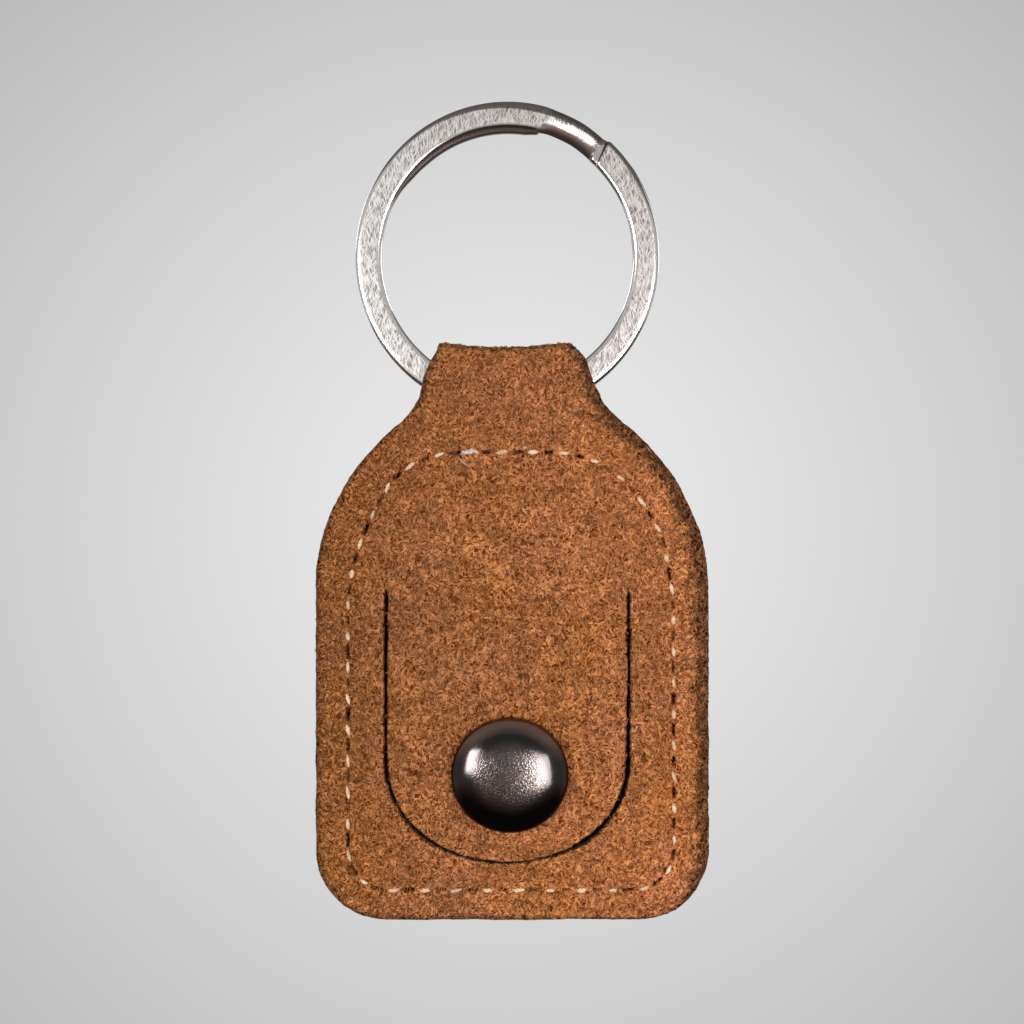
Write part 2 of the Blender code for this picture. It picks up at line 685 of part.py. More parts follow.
def snap_socket():
    """The female half: a cup whose front wall the cap's post clenches, with a rolled mouth at
    the rear that holds the spring ring."""
    outer = SOCKET_DIAMETER / 2
    hole = CAP_POST_DIAMETER / 2 + SEAT_GAP / 2
    mouth = SOCKET_MOUTH_DIAMETER / 2
    shoulder = SOCKET_SHOULDER_DIAMETER / 2
    front_y = -POCKET_INNER_Y + SEAT_GAP
    lip = SOCKET_LIP_THICKNESS
    rim_drop = SOCKET_HEIGHT / 2
    profile = [(hole, 0),
               (outer - SOCKET_WALL, 0),
               (outer, -SOCKET_WALL),
               (outer, -rim_drop + SOCKET_WALL),
               (shoulder + SOCKET_WALL, -rim_drop),
               (shoulder + SOCKET_WALL, -SOCKET_HEIGHT + SOCKET_WALL / 2),
               (shoulder, -SOCKET_HEIGHT),
               (mouth, -SOCKET_HEIGHT),
               (mouth, -SOCKET_HEIGHT + lip),
               (shoulder, -SOCKET_HEIGHT + lip),
               (shoulder, -SOCKET_WALL),
               (hole, -SOCKET_WALL)]
    return turned("snap_socket", profile, True, nickel, front_y, tongue_axis)


def socket_spring():
    """The open wire ring behind the socket's mouth."""
    radius = (SPRING_OUTER_DIAMETER - SPRING_WIRE) / 2
    lip_y = -POCKET_INNER_Y + SEAT_GAP + SOCKET_HEIGHT - SOCKET_LIP_THICKNESS
    plane_y = lip_y - SEAT_GAP - SPRING_WIRE / 2
    data = bpy.data.curves.new("socket_spring", "CURVE")
    data.dimensions = "3D"
    data.bevel_depth = SPRING_WIRE / 2
    data.bevel_resolution = 1
    data.use_fill_caps = True
    spline = data.splines.new("POLY")
    spline.points.add(SPRING_STEPS)
    for index, point in enumerate(spline.points):
        turn = SPRING_OPENING_ANGLE / 2 + (2 * pi - SPRING_OPENING_ANGLE) * index / SPRING_STEPS
        point.co = (radius * cos(turn), radius * sin(turn), 0, 1)
    place = Matrix.Translation((SNAP_OFFSET, plane_y, SNAP_Z)) @ Matrix.Rotation(pi / 2, 4, "X")
    mesh = mesh_of_curve("socket_spring", data, place)
    mesh.shade_smooth()
    return part_from_mesh("socket_spring", mesh, nickel, tongue_axis)


def snap_stud():
    """The male half: a flange on the back layer and a hollow head that enters the socket."""
    flange = STUD_FLANGE_DIAMETER / 2
    head = STUD_HEAD_DIAMETER / 2
    neck = STUD_NECK_DIAMETER / 2
    bore = STUD_BORE_DIAMETER / 2
    base_y = POCKET_INNER_Y - SEAT_GAP
    top = STUD_FLANGE + STUD_REACH
    wall = neck - bore
    profile = [(0, top),
               (head - STUD_BEAD / 2, top),
               (head, top - STUD_BEAD / 2),
               (head, top - STUD_BEAD),
               (neck, top - STUD_BEAD * 3 / 2),
               (neck, STUD_FLANGE),
               (flange, STUD_FLANGE),
               (flange, 0),
               (bore, 0),
               (bore, top - wall),
               (0, top - wall)]
    return turned("snap_stud", profile, False, nickel, base_y, neck_axis)


def stud_post():
    """The rivet from behind: a flat head on the back and a shank into the stud."""
    flange = POST_FLANGE_DIAMETER / 2
    shank = POST_DIAMETER / 2
    base_y = POCKET_OUTER_Y + SEAT_GAP + POST_FLANGE
    stud_wall = (STUD_NECK_DIAMETER - STUD_BORE_DIAMETER) / 2
    stud_base = POST_FLANGE + SEAT_GAP + LEATHER + SEAT_GAP
    reach = stud_base + STUD_FLANGE + STUD_REACH - stud_wall - SEAT_GAP
    edge = POST_FLANGE / 2
    profile = [(0, reach),
               (shank - SEAT_GAP, reach),
               (shank, reach - SEAT_GAP),
               (shank, POST_FLANGE),
               (flange - edge, POST_FLANGE),
               (flange, edge),
               (flange - edge / 2, 0),
               (0, 0)]
    return turned("stud_post", profile, False, gunmetal, base_y, neck_axis)


for obj in list(bpy.data.objects):
    bpy.data.objects.remove(obj)

parts = new_collection("coin_holder_keychain")
cutters = new_collection("cutters")

steel = material("ring_steel", STEEL_LOOK)
gunmetal = material("snap_gunmetal", GUNMETAL_LOOK)
nickel = material("snap_nickel", NICKEL_LOOK)
thread_finish = material("seam_thread", THREAD_LOOK)

ring_axis = empty("ring_turn_axis", (0, 0, RING_CENTRE_Z))
neck_axis = empty("neck_flex_axis", (POUCH_OFFSET, 0, NECK_HINGE_Z), ring_axis)
tongue_axis = empty("flap_lift_axis", (0, TONGUE_HINGE_Y, TONGUE_TOP_Z), neck_axis)

split_ring()
ring_loop(leather_silhouette_cutter())
stitches = stitch_places()
leather_layers(stitches)
seam_thread("needle_thread", -1, stitches)
seam_thread("bobbin_thread", 1, stitches)
snap_cap()
snap_socket()
socket_spring()
snap_stud()
stud_post()
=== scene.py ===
"""Looks of the coin holder keychain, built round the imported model. Sizes here are in mm."""

import bmesh
import bpy
import numpy as np
from math import asin, ceil, pi, radians
from mathutils import Matrix, Vector
from mathutils.geometry import delaunay_2d_cdt


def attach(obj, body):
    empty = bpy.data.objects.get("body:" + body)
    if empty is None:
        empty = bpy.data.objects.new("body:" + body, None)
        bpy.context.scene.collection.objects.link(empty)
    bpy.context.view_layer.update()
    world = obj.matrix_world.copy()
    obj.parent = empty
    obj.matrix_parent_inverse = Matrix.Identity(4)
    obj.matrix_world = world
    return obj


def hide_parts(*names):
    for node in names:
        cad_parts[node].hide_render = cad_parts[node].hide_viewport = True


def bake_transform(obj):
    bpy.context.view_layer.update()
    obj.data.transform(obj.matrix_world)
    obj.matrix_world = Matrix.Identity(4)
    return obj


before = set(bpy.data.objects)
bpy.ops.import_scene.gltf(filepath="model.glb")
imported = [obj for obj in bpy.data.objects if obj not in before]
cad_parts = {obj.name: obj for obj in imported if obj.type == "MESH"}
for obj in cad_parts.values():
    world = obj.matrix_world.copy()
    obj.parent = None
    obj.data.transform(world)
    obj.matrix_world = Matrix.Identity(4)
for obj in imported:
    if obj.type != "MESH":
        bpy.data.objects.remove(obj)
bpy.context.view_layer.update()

MM = 0.001

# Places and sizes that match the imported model
RING_OUTER, BAND, COIL, COIL_GAP = 16.0, 2.7, 1.15, 0.1
RING_CENTRE_Z = -13.3
FRONT_END, JOGGLE_START, JOGGLE_END, BACK_END = (radians(a) for a in (42.6, 18.5, 39.5, 14.5))
# The ring's height over its width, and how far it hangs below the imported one
RING_OVAL, RING_DROP = 1.025, 0.7
# How far a coil strays outwards, and how wide the painted shade on its outer edge is, by degrees of
# turn
RING_STRAY = [(42, 0.06), (58, 0.04), (66, 0), (374, 0.05), (384, 0.16), (390, 0.26), (401, 0.26),
              (408, 0.3), (415, 0.42), (428, 0.3), (441, 0.1), (460, 0.05), (540, 0), (610, 0.1),
              (632, 0.2), (652, 0.22), (662, 0.12), (670, -0.1), (680, -0.17), (700, -0.15),
              (728, -0.12), (735, 0.2)]
RING_SHADED = [(42, 0.55), (58, 0.55), (68, 0.4), (84, 0.1), (92, 0), (108, 0), (120, 0.4),
               (140, 0.4), (150, 0), (215, 0), (220, 0.2), (240, 0.2), (250, 0), (285, 0),
               (292, 0.15), (300, 0.3), (310, 0.4), (330, 0.58), (340, 0.68), (360, 0.85),
               (372, 0.95), (400, 0.95), (403, 0)]
# How much wider the strip is than its plain outline, by millimetres down from the ring's top
RIGHT_SPARE = [(24, 0), (25.5, 0.2), (27.7, 0.4), (29, 0.15), (30.3, 0.4), (31.2, 0.35),
               (32.8, 0.15), (34.5, 0), (40, -0.15), (44, 0), (50, 0.15), (79, 0.15),
               (82, 0.25), (83.5, 0.38)]
LEFT_SPARE = [(24, 0), (25.5, 0.35), (27, 0.35), (29, 0.1), (30.3, 0.3), (31.5, 0), (33.5, -0.2),
              (39, -0.25), (42, -0.1), (45, 0)]
LEATHER = 1.1
OFFSET_X = 0.4
HALF_WIDTH, CORNER = 20.6, 7.4
HINGE_Z, SEAM_TOP_Z, ARCH_Z, BOTTOM_Z = -33.1, -34.6, -48.5, -83.9
SEAM_HALF, SEAM_BOTTOM_Z, SEAM_CORNER = 17.2, -80.75, 4.125
SEAM_DEPTH, NECK_DEPTH, LOOP_DEPTH = 1.25, 1.5, 2.5
BULGE, BULGE_RAMP = 1.575, 6.5
PITCH, GROOVE = 3.3, 0.14
TONGUE_Z, TONGUE_HALF, TONGUE_TIP_Z, TONGUE_BOTTOM_Z = -49.0, 12.7, -66.95, -77.65
# The press stud: its axis, its widest radii in front and behind, and where its pieces stand
SNAP_X, SNAP_Z = 0.25, -68.13
CAP_RADIUS, RIVET_RADIUS = 5.95, 4.3
CAP_TOP_Y, CAP_Y, SOCKET_Y, STUD_Y, RIVET_Y = -5.875, -3.075, -1.475, 1.475, 3.575
# How far apart an outline's points are
STEP = 0.2

# The fold over the ring
FOLD_TOP = -23.1
FOLD_RADIUS = 2.1
FOLD_DIP = 0.45
LEG_TOP = FOLD_TOP - FOLD_RADIUS
ARC_END = LEG_TOP + FOLD_RADIUS * pi / 2
FOLD_END = ARC_END + LOOP_DEPTH - FOLD_RADIUS

LATTICE = np.random.default_rng(11).random((256, 256))


def smooth(share):
    held = np.clip(share, 0, 1)
    return held * held * (3 - 2 * held)


def noise(x, z, size, layer=0):
    """Smooth noise from -1 to 1 with grains of the given size."""
    spots = np.stack(np.broadcast_arrays(x, z), -1) / size + 37.7 * (layer + 1)
    base = np.floor(spots).astype(int)
    part = smooth(spots - base)
    total = 0
    for i, j in ((0, 0), (0, 1), (1, 0), (1, 1)):
        u, v = (part[..., k] if far else 1 - part[..., k] for k, far in enumerate((i, j)))
        total = total + u * v * LATTICE[(base[..., 0] + i) % 256, (base[..., 1] + j) % 256]
    return 2 * total - 1


# ---- outlines

def arc(centre, radius, start, end, count):
    turn = np.linspace(start, end, count)
    return np.stack([centre[0] + radius * np.cos(turn), centre[1] + radius * np.sin(turn)], -1)


def lengths_along(line):
    return np.concatenate([[0], np.cumsum(np.hypot(*np.diff(line, axis=0).T))])


def points_at(line, at):
    """The points at the given lengths along a polyline."""
    along = lengths_along(line)
    return np.stack([np.interp(at, along, line[:, k]) for k in (0, 1)], -1)


def resample(line, step):
    """The same polyline with even steps, both ends kept."""
    line = np.asarray(line, float)
    total = lengths_along(line)[-1]
    return points_at(line, np.linspace(0, total, ceil(total / step) + 1))


def curve_through(points, count=8):
    """A Catmull-Rom curve through the points."""
    p = np.asarray(points, float)
    p = np.concatenate([[2 * p[0] - p[1]], p, [2 * p[-1] - p[-2]]])
    made = []
    for a, b, c, d in zip(p, p[1:], p[2:], p[3:]):
        for t in np.arange(count) / count:
            made.append(0.5 * (2 * b + (c - a) * t + (2 * a - 5 * b + 4 * c - d) * t * t
                               + (3 * b - 3 * c + d - a) * t ** 3))
    return np.array([*made, p[-2]])


def sideways(line, closed=False):
    """Unit vectors to the left of a polyline's direction."""
    if closed:
        run = np.roll(line, -1, 0) - np.roll(line, 1, 0)
    else:
        run = np.gradient(line, axis=0)
    run = run / np.hypot(*run.T)[:, None]
    return np.stack([-run[:, 1], run[:, 0]], -1)


def lower_half(sign):
    """The shoulder, side and corner of the leather on one side, downwards."""
    blend = pi / 2 - asin(12.3 / HALF_WIDTH)
    shoulder = arc((0, ARCH_Z), HALF_WIDTH, blend, 0, 24)
    corner = arc((HALF_WIDTH - CORNER, BOTTOM_Z + CORNER), CORNER, 0, -pi / 2, 16)
    half = np.concatenate([shoulder, corner])
    return half * (sign, 1) + (OFFSET_X, 0)


def leather_edge():
    """The strip's cut edge, from the fold's right end down, round and up to its left end."""
    right = [(6.9, FOLD_END), (7.0, -22.9), (7.9, -24.5), (8.3, -25.9), (8.75, -27.5), (9.4, -28.5),
             (10.15, -29.9), (11.5, -31.15)]
    left = [(-7.3, FOLD_END), (-7.4, -23.4), (-7.75, -25.1), (-8.3, -26.7), (-8.95, -28.5),
            (-9.75, -30.2), (-10.8, -31.2)]
    right_low, left_low = lower_half(1), lower_half(-1)
    line = np.concatenate([curve_through([*right, right_low[0]])[:-1], right_low,
                           left_low[::-1], curve_through([*left, left_low[0]])[:-1][::-1]])
    line = resample(line, STEP)
    down = -line[:, 1]
    spare = np.where(line[:, 0] > 0, np.interp(down, *np.array(RIGHT_SPARE).T),
                     -np.interp(down, *np.array(LEFT_SPARE).T))
    line[:, 0] += spare * smooth(np.abs(line[:, 0]) / 6) + 0.15 * smooth((line[:, 0] - 16) / 4)
    line[:, 1] -= 0.15 * smooth((line[:, 0] - 5) / 5) * (down > 75)
    along = lengths_along(line)
    free = smooth(np.minimum(along, along[-1] - along) / 2)
    rough = 0.055 * noise(along, 0, 3.1, 1) + 0.03 * noise(along, 0, 0.7, 2)
    return line - sideways(line) * (rough * free)[:, None]


def seam_line():
    """The seam's closed line, clockwise from the middle of its stitch at the top right."""
    right = [(9.23, -35.46), (12.15, -37.45), (14.3, -40.0), (16.15, -43.15), (16.95, -46.6),
             (17.5, -50.0)]
    left = [(-16.8, -50.5), (-16.3, -46.85), (-15.3, -43.6), (-13.85, -40.5), (-12.05, -37.45),
            (-9.4, -35.55), (-6.6, -34.75), (-3.7, -34.6), (3.5, -34.6), (6.5, -34.75),
            (9.23, -35.46)]
    centre = (SEAM_HALF - SEAM_CORNER, SEAM_BOTTOM_Z + SEAM_CORNER)
    corner = arc(centre, SEAM_CORNER, 0, -pi / 2, 14)
    low = np.concatenate([corner, corner[::-1] * (-1, 1)]) + (OFFSET_X, 0)
    line = np.concatenate([curve_through(right), low, curve_through(left)])
    line = resample(line, 0.25)[:-1]
    reach = 4
    line = sum(np.roll(line, k, 0) for k in range(-reach, reach + 1)) / (2 * reach + 1)
    return resample(np.concatenate([line, line[:1]]), 0.5)


def slit_middle():
    """The middle of the slit round the tongue, from its top right end to its top left end."""
    side = np.array([(TONGUE_HALF, TONGUE_Z), (TONGUE_HALF, TONGUE_TIP_Z)])
    oval = arc((0, 0), 1, 0, -pi, 60) * (TONGUE_HALF, TONGUE_TIP_Z - TONGUE_BOTTOM_Z)
    line = np.concatenate([side, oval + (0, TONGUE_TIP_Z), side[::-1] * (-1, 1)])
    line = resample(line, STEP)
    along = lengths_along(line)
    free = smooth(np.minimum(along, along[-1] - along) / 1.5)
    return line + sideways(line) * (0.07 * noise(along, 0, 4.0, 3) * free)[:, None]


def slit_sides():
    """The slit's outer and inner side. They meet at both ends."""
    line = slit_middle()
    along = lengths_along(line)
    end = np.minimum(along, along[-1] - along)
    middle = np.abs(along - along[-1] / 2)
    half = 0.2 + 0.05 * noise(along, 0, 1.7, 4) + 0.06 * noise(along, 0, 0.5, 5)
    half = half + 0.07 * smooth((9 - np.abs(along - 24)) / 5) - 0.09 * smooth((9 - middle) / 5)
    half = half * np.sqrt(np.clip(end / 1.3, 0, 1))
    out = sideways(line) * half[:, None]
    return line + out, line - out


EDGE = leather_edge()
SEAM = seam_line()
SLIT_OUT, SLIT_IN = slit_sides()
HINGE = resample([SLIT_OUT[-1], SLIT_OUT[0]], 0.25)
FOLD_LINE = resample([EDGE[-1], EDGE[0]], 0.25)[1:-1]
OUTLINE = np.concatenate([EDGE, FOLD_LINE])
FRONT_HOLE = np.concatenate([SLIT_OUT, HINGE[1:-1]])
TONGUE_LOOP = np.concatenate([SLIT_IN, HINGE[1:-1]])
# Each layer's outline and holes, and the way in y that its outer side faces
LAYERS = {"front": ([OUTLINE, FRONT_HOLE], -1), "back": ([OUTLINE], 1),
          "tongue": ([TONGUE_LOOP], -1)}


def segments_away(spots, line):
    best = np.full(len(spots), 1e9)
    for a, b in zip(line[:-1], line[1:]):
        run = b - a
        rel = spots - a
        share = np.clip(rel @ run / (run @ run), 0, 1)
        gap = rel - share[:, None] * run
        best = np.minimum(best, gap[:, 0] ** 2 + gap[:, 1] ** 2)
    return np.sqrt(best)


def inside(spots, loop):
    hit = np.zeros(len(spots), bool)
    for (ax, az), (bx, bz) in zip(loop, np.roll(loop, -1, 0)):
        if az != bz:
            over = (az > spots[:, 1]) != (bz > spots[:, 1])
            hit ^= over & (spots[:, 0] < ax + (spots[:, 1] - az) / (bz - az) * (bx - ax))
    return hit


class Field:
    """Distances to a line, above 0 inside the loop, kept on a grid and read off between its
    points."""
    LOW = np.array([-22.0, -86.0])

    def __init__(self, line, loop):
        columns, rows = 226, 332
        gx, gz = np.meshgrid(np.arange(columns), np.arange(rows), indexing="ij")
        spots = np.stack([gx.ravel(), gz.ravel()], -1) * STEP + self.LOW
        away = segments_away(spots, line)
        self.values = np.where(inside(spots, loop), away, -away).reshape(columns, rows)

    def __call__(self, x, z):
        at = (np.stack([x, z], -1) - self.LOW) / STEP
        at = np.clip(at, 0, np.array(self.values.shape) - 1.001)
        base = at.astype(int)
        u, v = (at - base)[..., 0], (at - base)[..., 1]
        i, j = base[..., 0], base[..., 1]
        grid = self.values
        return ((grid[i, j] * (1 - u) + grid[i + 1, j] * u) * (1 - v)
                + (grid[i, j + 1] * (1 - u) + grid[i + 1, j + 1] * u) * v)


edge_inside = Field(EDGE[::2], OUTLINE)
seam_inside = Field(SEAM, SEAM[:-1])
hole_inside = Field(SLIT_OUT[::2], FRONT_HOLE)
tongue_inside = Field(SLIT_IN[::2], TONGUE_LOOP)


SEAM_LENGTH = lengths_along(SEAM)[-1]
STITCHES = round(SEAM_LENGTH / PITCH)


def stitch_places():
    """The places and directions of the stitch holes, clockwise from the top right."""
    at = SEAM_LENGTH * (np.arange(STITCHES) + 0.5) / STITCHES
    spots = points_at(SEAM, at)
    way = points_at(SEAM, at + 0.05) - spots
    return spots, way / np.hypot(*way.T)[:, None]


HOLES, HOLE_WAYS = stitch_places()


# ---- leather surface

def base_depth(x, z):
    """How far the layer's outer side stands from the middle plane, without its relief."""
    pouch = SEAM_DEPTH + BULGE * smooth(seam_inside(x, z) / BULGE_RAMP)
    pouch = pouch + (NECK_DEPTH - SEAM_DEPTH) * smooth((z - SEAM_TOP_Z) / (HINGE_Z - SEAM_TOP_Z))
    leg = (LOOP_DEPTH - NECK_DEPTH) * smooth((z + 32.4) / 3.1)
    return pouch + leg


def pits(x, z):
    """How deep the stitch holes are, from 0 to 1. Some have nearly closed up."""
    deep = np.zeros(np.shape(x))
    for number, ((hx, hz), (wx, wz)) in enumerate(zip(HOLES, HOLE_WAYS)):
        length, width, share = LATTICE[number, :3] * (0.3, 0.07, 0.55) + (0.45, 0.14, 0.45)
        near = (np.abs(x - hx) < 1.6) & (np.abs(z - hz) < 1.6)
        dx, dz = x[near] - hx, z[near] - hz
        run, across = dx * wx + dz * wz, dz * wx - dx * wz
        hole = share * np.exp(-(run / length) ** 6 - (across / width) ** 4)
        deep[near] = np.maximum(deep[near], hole)
    return deep


def cut_away(x, z, part):
    """Distance to the nearest cut edge of the front, back or tongue."""
    if part == "tongue":
        return np.abs(tongue_inside(x, z))
    away = np.abs(edge_inside(x, z))
    return np.minimum(away, np.abs(hole_inside(x, z))) if part == "front" else away


def beyond_cut(x, z, part):
    """How far a point lies past the cut edge of its layer; the hinge line isn't a cut."""
    if part == "tongue":
        return np.where(z > TONGUE_Z - 0.1, -1, -tongue_inside(x, z))
    past = -edge_inside(x, z)
    if part == "front":
        hole = np.where(z > TONGUE_Z - 0.7, -1, hole_inside(x, z))
        past = np.maximum(past, hole)
    return past


def bevel_width(x, z):
    """How far in the worn outer edge reaches: wide on the right, narrow on the left."""
    right = smooth((x - 5) / 4) * smooth((z + 83.5) / 5)
    ragged = 0.25 * noise(x, z, 1.3, 6) + 0.15 * noise(x, z, 0.5, 7)
    return (0.48 + 1.05 * right) * (1 + ragged)


def edge_shade(x, z, part):
    """1 where the colour darkens and 0 away from it: on the worn cut edge, partly its own dark
    colour and partly painted shade, and as painted shade along the fold's top and beside the slit.
    """
    width = bevel_width(x, z)
    if part == "back":
        width = 0.5 * (1 + 0.3 * noise(x, z, 1.1, 8))
    dark = np.zeros(np.shape(x))
    if part != "tongue":
        dark = smooth(1.5 - np.abs(edge_inside(x, z)) / width)
        # Painted shade along the fold's top
        crest = smooth((z - LEG_TOP - 1.7) / 0.6) * smooth((6.2 - np.abs(x + 0.2)) / 1.5)
        dark = np.maximum(dark, 0.8 * crest)
    if part != "back":
        # Painted shade beside the slit
        slit = np.abs(tongue_inside(x, z) if part == "tongue" else hole_inside(x, z))
        dark = np.maximum(dark, 0.75 * smooth(1.2 - slit / 0.2))
    return dark


def waves(x, z):
    return 0.10 * noise(x, z, 9.0, 10) + 0.05 * noise(x, z, 3.2, 11)


def groove_depth(x, part):
    """How deep the thread has pulled the seam in: twice as deep at the front's right side."""
    return GROOVE + GROOVE * smooth((x - 10) / 4) * (part == "front")


def outer_depth(x, z, part):
    """The outer side with its waves, groove, stitch holes and worn edges."""
    depth = base_depth(x, z)
    mat = 0.05 * noise(x, z, 0.9, 12) + 0.06 * noise(x, z, 0.42, 13)
    away = cut_away(x, z, part)
    seam = np.abs(seam_inside(x, z))
    depth = depth + waves(x, z) * smooth(away / 2) + mat * smooth(away / 0.25)
    if part != "tongue":
        groove = groove_depth(x, part) * np.exp(-(seam / 0.5) ** 2)
        depth = depth - groove - 0.7 * pits(x, z)
    rim = np.hypot(x - SNAP_X, z - SNAP_Z)
    depth = depth + 0.22 * smooth((9.2 - rim) / 3)
    if part == "tongue":
        crease = -55.2 + 0.35 * noise(x, 0, 5, 14)
        depth = depth - 0.16 * np.exp(-((z - crease) / 0.55) ** 2) * smooth(away / 2)
    if part != "tongue":
        worn = np.clip(1 - np.abs(edge_inside(x, z)) / (bevel_width(x, z) * 1.15), 0, 1)
        deep = 0.72 * smooth((x - 5) / 4) * smooth((-24.5 - z) / 2.5) if part == "front" else 0.2
        depth = depth - deep * worn ** 1.4
    rounding = 0.24
    inward = np.clip(rounding - away, 0, rounding)
    return depth - (rounding - np.sqrt(rounding ** 2 - inward ** 2)) * 0.9


def inner_depth(x, z):
    thick = LEATHER - 0.3 * smooth((z + 27) / 2)
    return base_depth(x, z) - thick + 0.02 * noise(x, z, 1.5, 15)


def place(x, s, depth, side):
    """A point of the strip: s is the height up the legs and then the way over the fold."""
    out = depth - LOOP_DEPTH
    turn = np.clip((s - LEG_TOP) / FOLD_RADIUS, 0, pi / 2)
    bent = FOLD_RADIUS + out
    over = np.maximum(s - ARC_END, 0)
    y = np.where(s > LEG_TOP, LOOP_DEPTH - FOLD_RADIUS + bent * np.cos(turn) - over, depth)
    z = np.where(s > LEG_TOP, LEG_TOP + bent * np.sin(turn), s)
    dip = FOLD_DIP * smooth((7.0 - np.abs(x - 0.3)) / 5.5)
    z = z - dip * smooth((s + 27.5) / 4.5)
    return np.stack([x, side * y, z], -1)


# ---- meshes

def build(name, points, polygons, finish, **layers):
    """A mesh object from points in mm and arrays of polygons, with named values on its points."""
    mesh = bpy.data.meshes.new(name)
    corners = np.concatenate([p.ravel() for p in polygons]).astype(np.int32)
    sizes = np.concatenate([np.full(len(p), p.shape[1]) for p in polygons])
    starts = np.concatenate([[0], np.cumsum(sizes)[:-1]]).astype(np.int32)
    mesh.vertices.add(len(points))
    mesh.vertices.foreach_set("co", (points * MM).astype(np.float32).ravel())
    mesh.loops.add(len(corners))
    mesh.loops.foreach_set("vertex_index", corners)
    mesh.polygons.add(len(sizes))
    mesh.polygons.foreach_set("loop_start", starts)
    mesh.update(calc_edges=True)
    mesh.validate()
    rest = mesh.attributes.new("rest", "FLOAT_VECTOR", "POINT")
    rest.data.foreach_set("vector", points.astype(np.float32).ravel())
    for key, values in layers.items():
        layer = mesh.attributes.new(key, "FLOAT", "POINT")
        layer.data.foreach_set("value", np.broadcast_to(values, len(points)).astype(np.float32))
    mesh.materials.append(finish)
    mesh.shade_smooth()
    return linked(name, mesh)


def linked(name, data):
    made = bpy.data.objects.new(name, data)
    bpy.context.scene.collection.objects.link(made)
    return made


def face_outwards(obj, sharp=None):
    """Turns the faces outwards, and parts the shading at edges of more than sharp degrees."""
    made = bmesh.new()
    made.from_mesh(obj.data)
    bmesh.ops.recalc_face_normals(made, faces=made.faces)
    made.to_mesh(obj.data)
    made.free()
    if sharp:
        obj.data.shade_smooth()
        obj.data.set_sharp_from_angle(angle=radians(sharp))
    return obj


def quads(here, ahead, axis):
    """Four-sided faces from one row of points to the next, closed round along the axis."""
    return np.stack([here, np.roll(here, -1, axis), np.roll(ahead, -1, axis), ahead],
                    -1).reshape(-1, 4)


def skin(index, axis, closed):
    """The quads between all rows, the rows along the second axis, closed that way or open."""
    if closed:
        return quads(index, np.roll(index, -1, 1), axis)
    return quads(index[:, :-1], index[:, 1:], axis)


def unit(vectors):
    return vectors / np.maximum(np.linalg.norm(vectors, axis=-1, keepdims=True), 1e-9)


def hexagon_grid(step, seed):
    rng = np.random.default_rng(seed)
    rows = np.arange(BOTTOM_Z - 1, FOLD_END + 1, step * 0.866)
    columns = np.arange(-22, 23, step)
    gx, gz = np.meshgrid(columns, rows)
    gx = gx + step / 2 * (np.arange(len(rows)) % 2)[:, None]
    spots = np.stack([gx.ravel(), gz.ravel()], -1)
    return spots + rng.uniform(-0.18, 0.18, spots.shape) * step


def domain(spots, loops):
    """Whether spots lie inside the first loop and outside the others."""
    hit = inside(spots, loops[0])
    for hole in loops[1:]:
        hit &= ~inside(spots, hole)
    return hit


def fill(loops, spots):
    """Triangles that fill the loops and use the spots inside. The loops' points come first."""
    points = np.concatenate([*loops, spots])
    edges, first = [], 0
    for loop in loops:
        count = len(loop)
        edges += [(first + i, first + (i + 1) % count) for i in range(count)]
        first += count
    found = delaunay_2d_cdt([Vector(p) for p in points], edges, [], 0, 1e-6, True)
    original = np.array([ids[0] for ids in found[3]])
    triangles = original[np.array(found[2])]
    middle = points[triangles].mean(1)
    return points, triangles[domain(middle, loops)]


def loops_away(spots, loops):
    away = np.full(len(spots), 1e9)
    for loop in loops:
        away = np.minimum(away, segments_away(spots, np.concatenate([loop, loop[:1]])))
    return away


def surface_spots(loops, part):
    """Where the fine outer side has its points: dense at the cut edges and along the seam."""
    coarse, fine = hexagon_grid(0.27, 3), hexagon_grid(0.12, 4)
    if part == "tongue":
        grid = coarse
    else:
        fine = fine[np.abs(seam_inside(*fine.T)) < 0.42]
        coarse = coarse[np.abs(seam_inside(*coarse.T)) > 0.5]
        grid = np.concatenate([coarse, fine])
    grid = grid[domain(grid, loops)]
    kept = [grid[loops_away(grid, loops) > 0.42]]
    for gap in (0.07, 0.16, 0.29):
        for loop in loops:
            for sign in (-1, 1):
                ring = loop + sideways(loop, True) * gap * sign
                ring = ring[domain(ring, loops)]
                kept.append(ring[loops_away(ring, loops) > gap * 0.9])
    return np.concatenate(kept)


